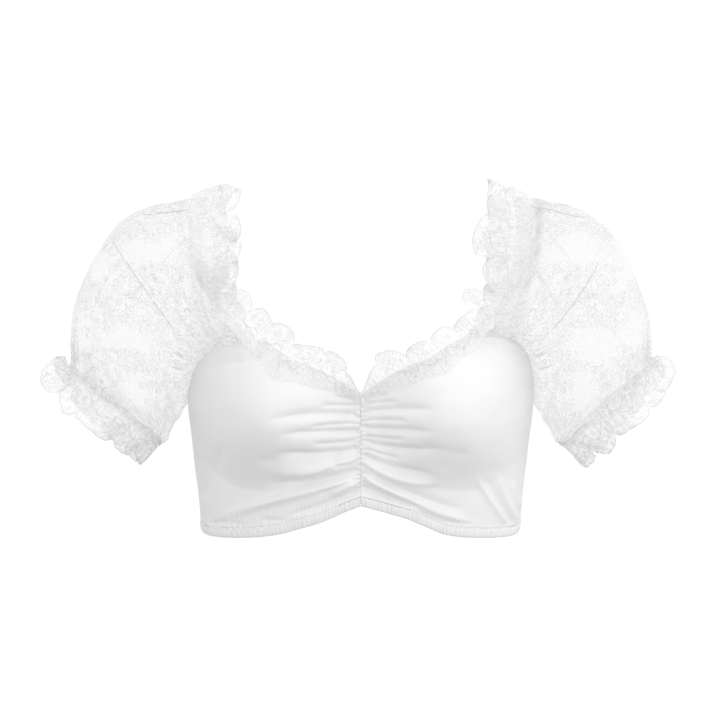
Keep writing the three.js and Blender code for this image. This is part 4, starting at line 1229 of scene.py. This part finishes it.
def neck_frill(side, columns=1200, foot_rows=9, free_rows=30):
    """The strip: its foot from the gathering line to the edge, then its free part up to the scallops."""
    f = NECK_FRILL
    at, edge, gather, up, out = neck_rail(side, columns)
    run = -np.cross(out, up)
    middles = np.concatenate([[-15], LOBES[side], [612]])
    phase = 2 * np.pi * along(middles, np.arange(len(middles)) - 1, at)[:, None]
    ends = (ease(0, 34, at) * ease(-6, 12, at[-1] - at))[:, None]
    width = lerp(f["front_free"], f["free"], ease(90, 150, at))[:, None]
    uneven = swell(at, 0, 62, 120 + side)[:, None]
    far = at[:, None]
    even_stretch = 1 - 0.6 * bell(far, 110, 30)
    reach = width * lerp(0.12, 1, ends) + f["scallop"] * ends * even_stretch * lobe(phase)
    reach = reach + 1.4 * ends * uneven
    trim = np.array(TRIM[side], float)
    reach = reach + ends * picots(phase, 7) + np.interp(far, trim[:, 0], trim[:, 1])
    crown = bell(far, SHOULDER, 17)

    rows = np.linspace(0, 1, foot_rows)[:-1][None]
    drawn = 0.6 + 0.4 * swell(far, 0, 30, 121 + side)
    pleat = drawn * 0.8 * np.sin(np.pi * (0.15 + 0.85 * rows)) * gathers(far, 5.2, 122 + side)
    ragged = (1 - rows) * (0.8 * gathers(far, 5.2, 122 + side) + 1.2 * swell(far, 0, 24, 123 + side)) / FOOT
    foot = lerp(gather[:, None], edge[:, None], (rows + ragged)[..., None])
    foot = foot + out[:, None] * (lerp(1.3, FOOT_LIFT, rows) + pleat + crown * lerp(2, 6, rows))[..., None]

    share = np.linspace(0, 1, free_rows)[None]
    deep = reach * share
    loose = ends * lerp(0.6, 1, ease(90, 150, far))
    swing = f["rise"] * loose * ease(0, 0.9, share) * (1 + 0.3 * uneven) * np.cos(phase)
    drift = phase / 2 + 1.4 * swell(far, 0, 160, 126 + side, count=3)
    swing += 2.4 * loose * ease(0, 1, share) * np.cos(drift)
    swing += 0.8 * loose * ease(0.1, 0.9, share) * swell(far, deep, 12, 128 + side)
    swing += 0.9 * drawn * np.sin(np.pi * ease(0, 0.7, share)) * gathers(far, 5.2, 122 + side)
    arch = 3 * ease(0, 0.5, share) - 5 * ease(0.5, 1, share) if side < 0 else 7 * ease(0.2, 1, share)
    swing = lerp(swing, 6 + arch, crown)
    sideways = 3.4 * ease(0.15, 1, share) * np.sin(phase) + 0.8 * share * swell(far, deep, 22, 130 + side)
    sideways = loose * sideways
    free = edge[:, None] + up[:, None] * deep[..., None] + run[:, None] * sideways[..., None]
    free = free + out[:, None] * (FOOT_LIFT + deep * f["lean"] * (1 - crown) + swing)[..., None]

    points = np.concatenate([foot, free], 1)
    points[..., 0] = np.maximum(points[..., 0], SEAM / 2)
    from_edge = np.concatenate([reach + (1 - rows) * FOOT, reach - deep], 1)
    cycle = (phase / (2 * np.pi) + 0.5) % 1 - 0.5
    patch = swell(far + 0 * from_edge, from_edge, 16, 134 + side)
    # painted shade near the corner between frill and sleeve, stronger on the viewer's left; the foot's
    # gathers below are denser and also darker
    corner_shade = bell(far, 168, 34) * (1.1 if side < 0 else 0.6) * ease(4, 12, from_edge + 3 * patch)
    root = ease(12, 20, from_edge) * ease(0.1, 1, patch) * 0.15
    marks = {"lobe_across": cycle * LOBE_WIDTH + 0 * from_edge, "from_edge": from_edge}
    marks["bunched"] = np.maximum(corner_shade, root)
    uv = np.stack([far * 1.5 + 0 * from_edge, from_edge], -1)
    return points * (side, 1, 1), uv, marks


neck_frills = {}
for side, word in ((-1, "left"), (1, "right")):
    points, uv, marks = neck_frill(side)
    name, inside = f"lace_neck_frill_{word}", (0, 0, -130)
    neck_frills[side] = make_piece(name, points, uv, FRILL_LACE, inside, marks=marks)

# %% [markdown]
# Now each piece is tied to the frame: it rides on the one body that the blouse has, and the plain walls
# that it replaces are hidden.


def tie(piece, node):
    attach(piece, "root")
    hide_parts(node)


for side, word in ((-1, "left"), (1, "right")):
    tie(fronts[side], f"front_{word}")
    tie(casings[f"front_{word}"], f"hem_casing_front_{word}")
    tie(sleeves[side], f"sleeve_{word}")
    tie(cuff_bands[side], f"cuff_elastic_{word}")
    tie(cuff_frills[side], f"cuff_frill_{word}")
    tie(neck_frills[side], f"neck_frill_{word}")
tie(back, "back")
tie(casings["back"], "hem_casing_back")

# %% [markdown]
# The stage is as plain as it can be: a pale floor well below the blouse, three large soft lights, one in
# front, one on the viewer's right and one above, and an even white surround. The surround is full white
# to the camera but dimmer as a light, which keeps the folds' shadows. The camera looks straight at the
# front from three metres, so that a millimetre on the blouse is as large as in the photograph.

# %% Floor and lights
FLOOR_SHADE = 0.5
LIGHTS = {  # place, width of the square in metres, power in watts
    "front": ((0.2, -3.0, 0.3), 2.2, 12.5),
    "side": ((2.8, -1.0, 0.4), 2.2, 16),
    "top": ((0.3, -0.9, 2.9), 2.2, 10.5),
}


def make_floor(radius=1.1, height=-0.6):
    """A flat disc of one face round the origin."""
    angle = np.linspace(0, 2 * np.pi, 97)[:-1]
    rim = np.stack([radius * np.cos(angle), radius * np.sin(angle), np.full(96, height)], -1)
    mesh = bpy.data.meshes.new("floor")
    mesh.from_pydata(rim.tolist(), [], [list(range(96))])
    material = bpy.data.materials.new("pale_floor")
    material.use_nodes = True
    shader = material.node_tree.nodes["Principled BSDF"]
    shader.inputs["Base Color"].default_value = (FLOOR_SHADE,) * 3 + (1,)
    shader.inputs["Roughness"].default_value = 0.8
    mesh.materials.append(material)
    floor = bpy.data.objects.new("floor", mesh)
    bpy.context.scene.collection.objects.link(floor)
    return floor


def soft_light(name, place_at, size, watts, aim=(0, 0, -0.16)):
    """A square area light that faces the blouse."""
    light = bpy.data.lights.new(name, "AREA")
    light.shape, light.size, light.energy = "SQUARE", size, watts
    lamp = bpy.data.objects.new(name, light)
    lamp.location = place_at
    lamp.rotation_euler = (Vector(aim) - Vector(place_at)).to_track_quat("-Z", "Y").to_euler()
    bpy.context.scene.collection.objects.link(lamp)


def white_surround(seen=1.02, cast=0.89):
    """A world that is white to the camera and dimmer as a light."""
    world = bpy.data.worlds.new("surround")
    world.use_nodes = True
    tree = world.node_tree
    surround = tree.nodes["Background"]
    surround.inputs["Color"].default_value = (1, 1, 1, 1)
    camera_ray = place(tree, "ShaderNodeLightPath").outputs["Is Camera Ray"]
    strength = place(tree, "ShaderNodeMapRange", camera_ray, 0.0, 1.0, cast, seen).outputs[0]
    tree.links.new(strength, surround.inputs["Strength"])
    bpy.context.scene.world = world


make_floor()
for name, (place_at, size, watts) in LIGHTS.items():
    soft_light(name, place_at, size, watts)
white_surround()
bpy.context.scene.view_settings.view_transform = "Standard"

# %% Camera
CAMERA_DISTANCE, MM_PER_PIXEL, FRAME_PIXELS = 3.0, 0.88, 720
MIDDLE_X, MIDDLE_Z = -0.0005, -0.145

lens = bpy.data.cameras.new("photo_camera")
lens.sensor_width = 36
lens.lens = lens.sensor_width * CAMERA_DISTANCE / (MM_PER_PIXEL * FRAME_PIXELS * MM)
camera = bpy.data.objects.new("photo_camera", lens)
camera.location = (MIDDLE_X, -CAMERA_DISTANCE, MIDDLE_Z)
camera.rotation_euler = (np.pi / 2, 0, 0)
bpy.context.scene.collection.objects.link(camera)
bpy.context.scene.camera = camera
print("focal length:", round(lens.lens, 1), "mm")
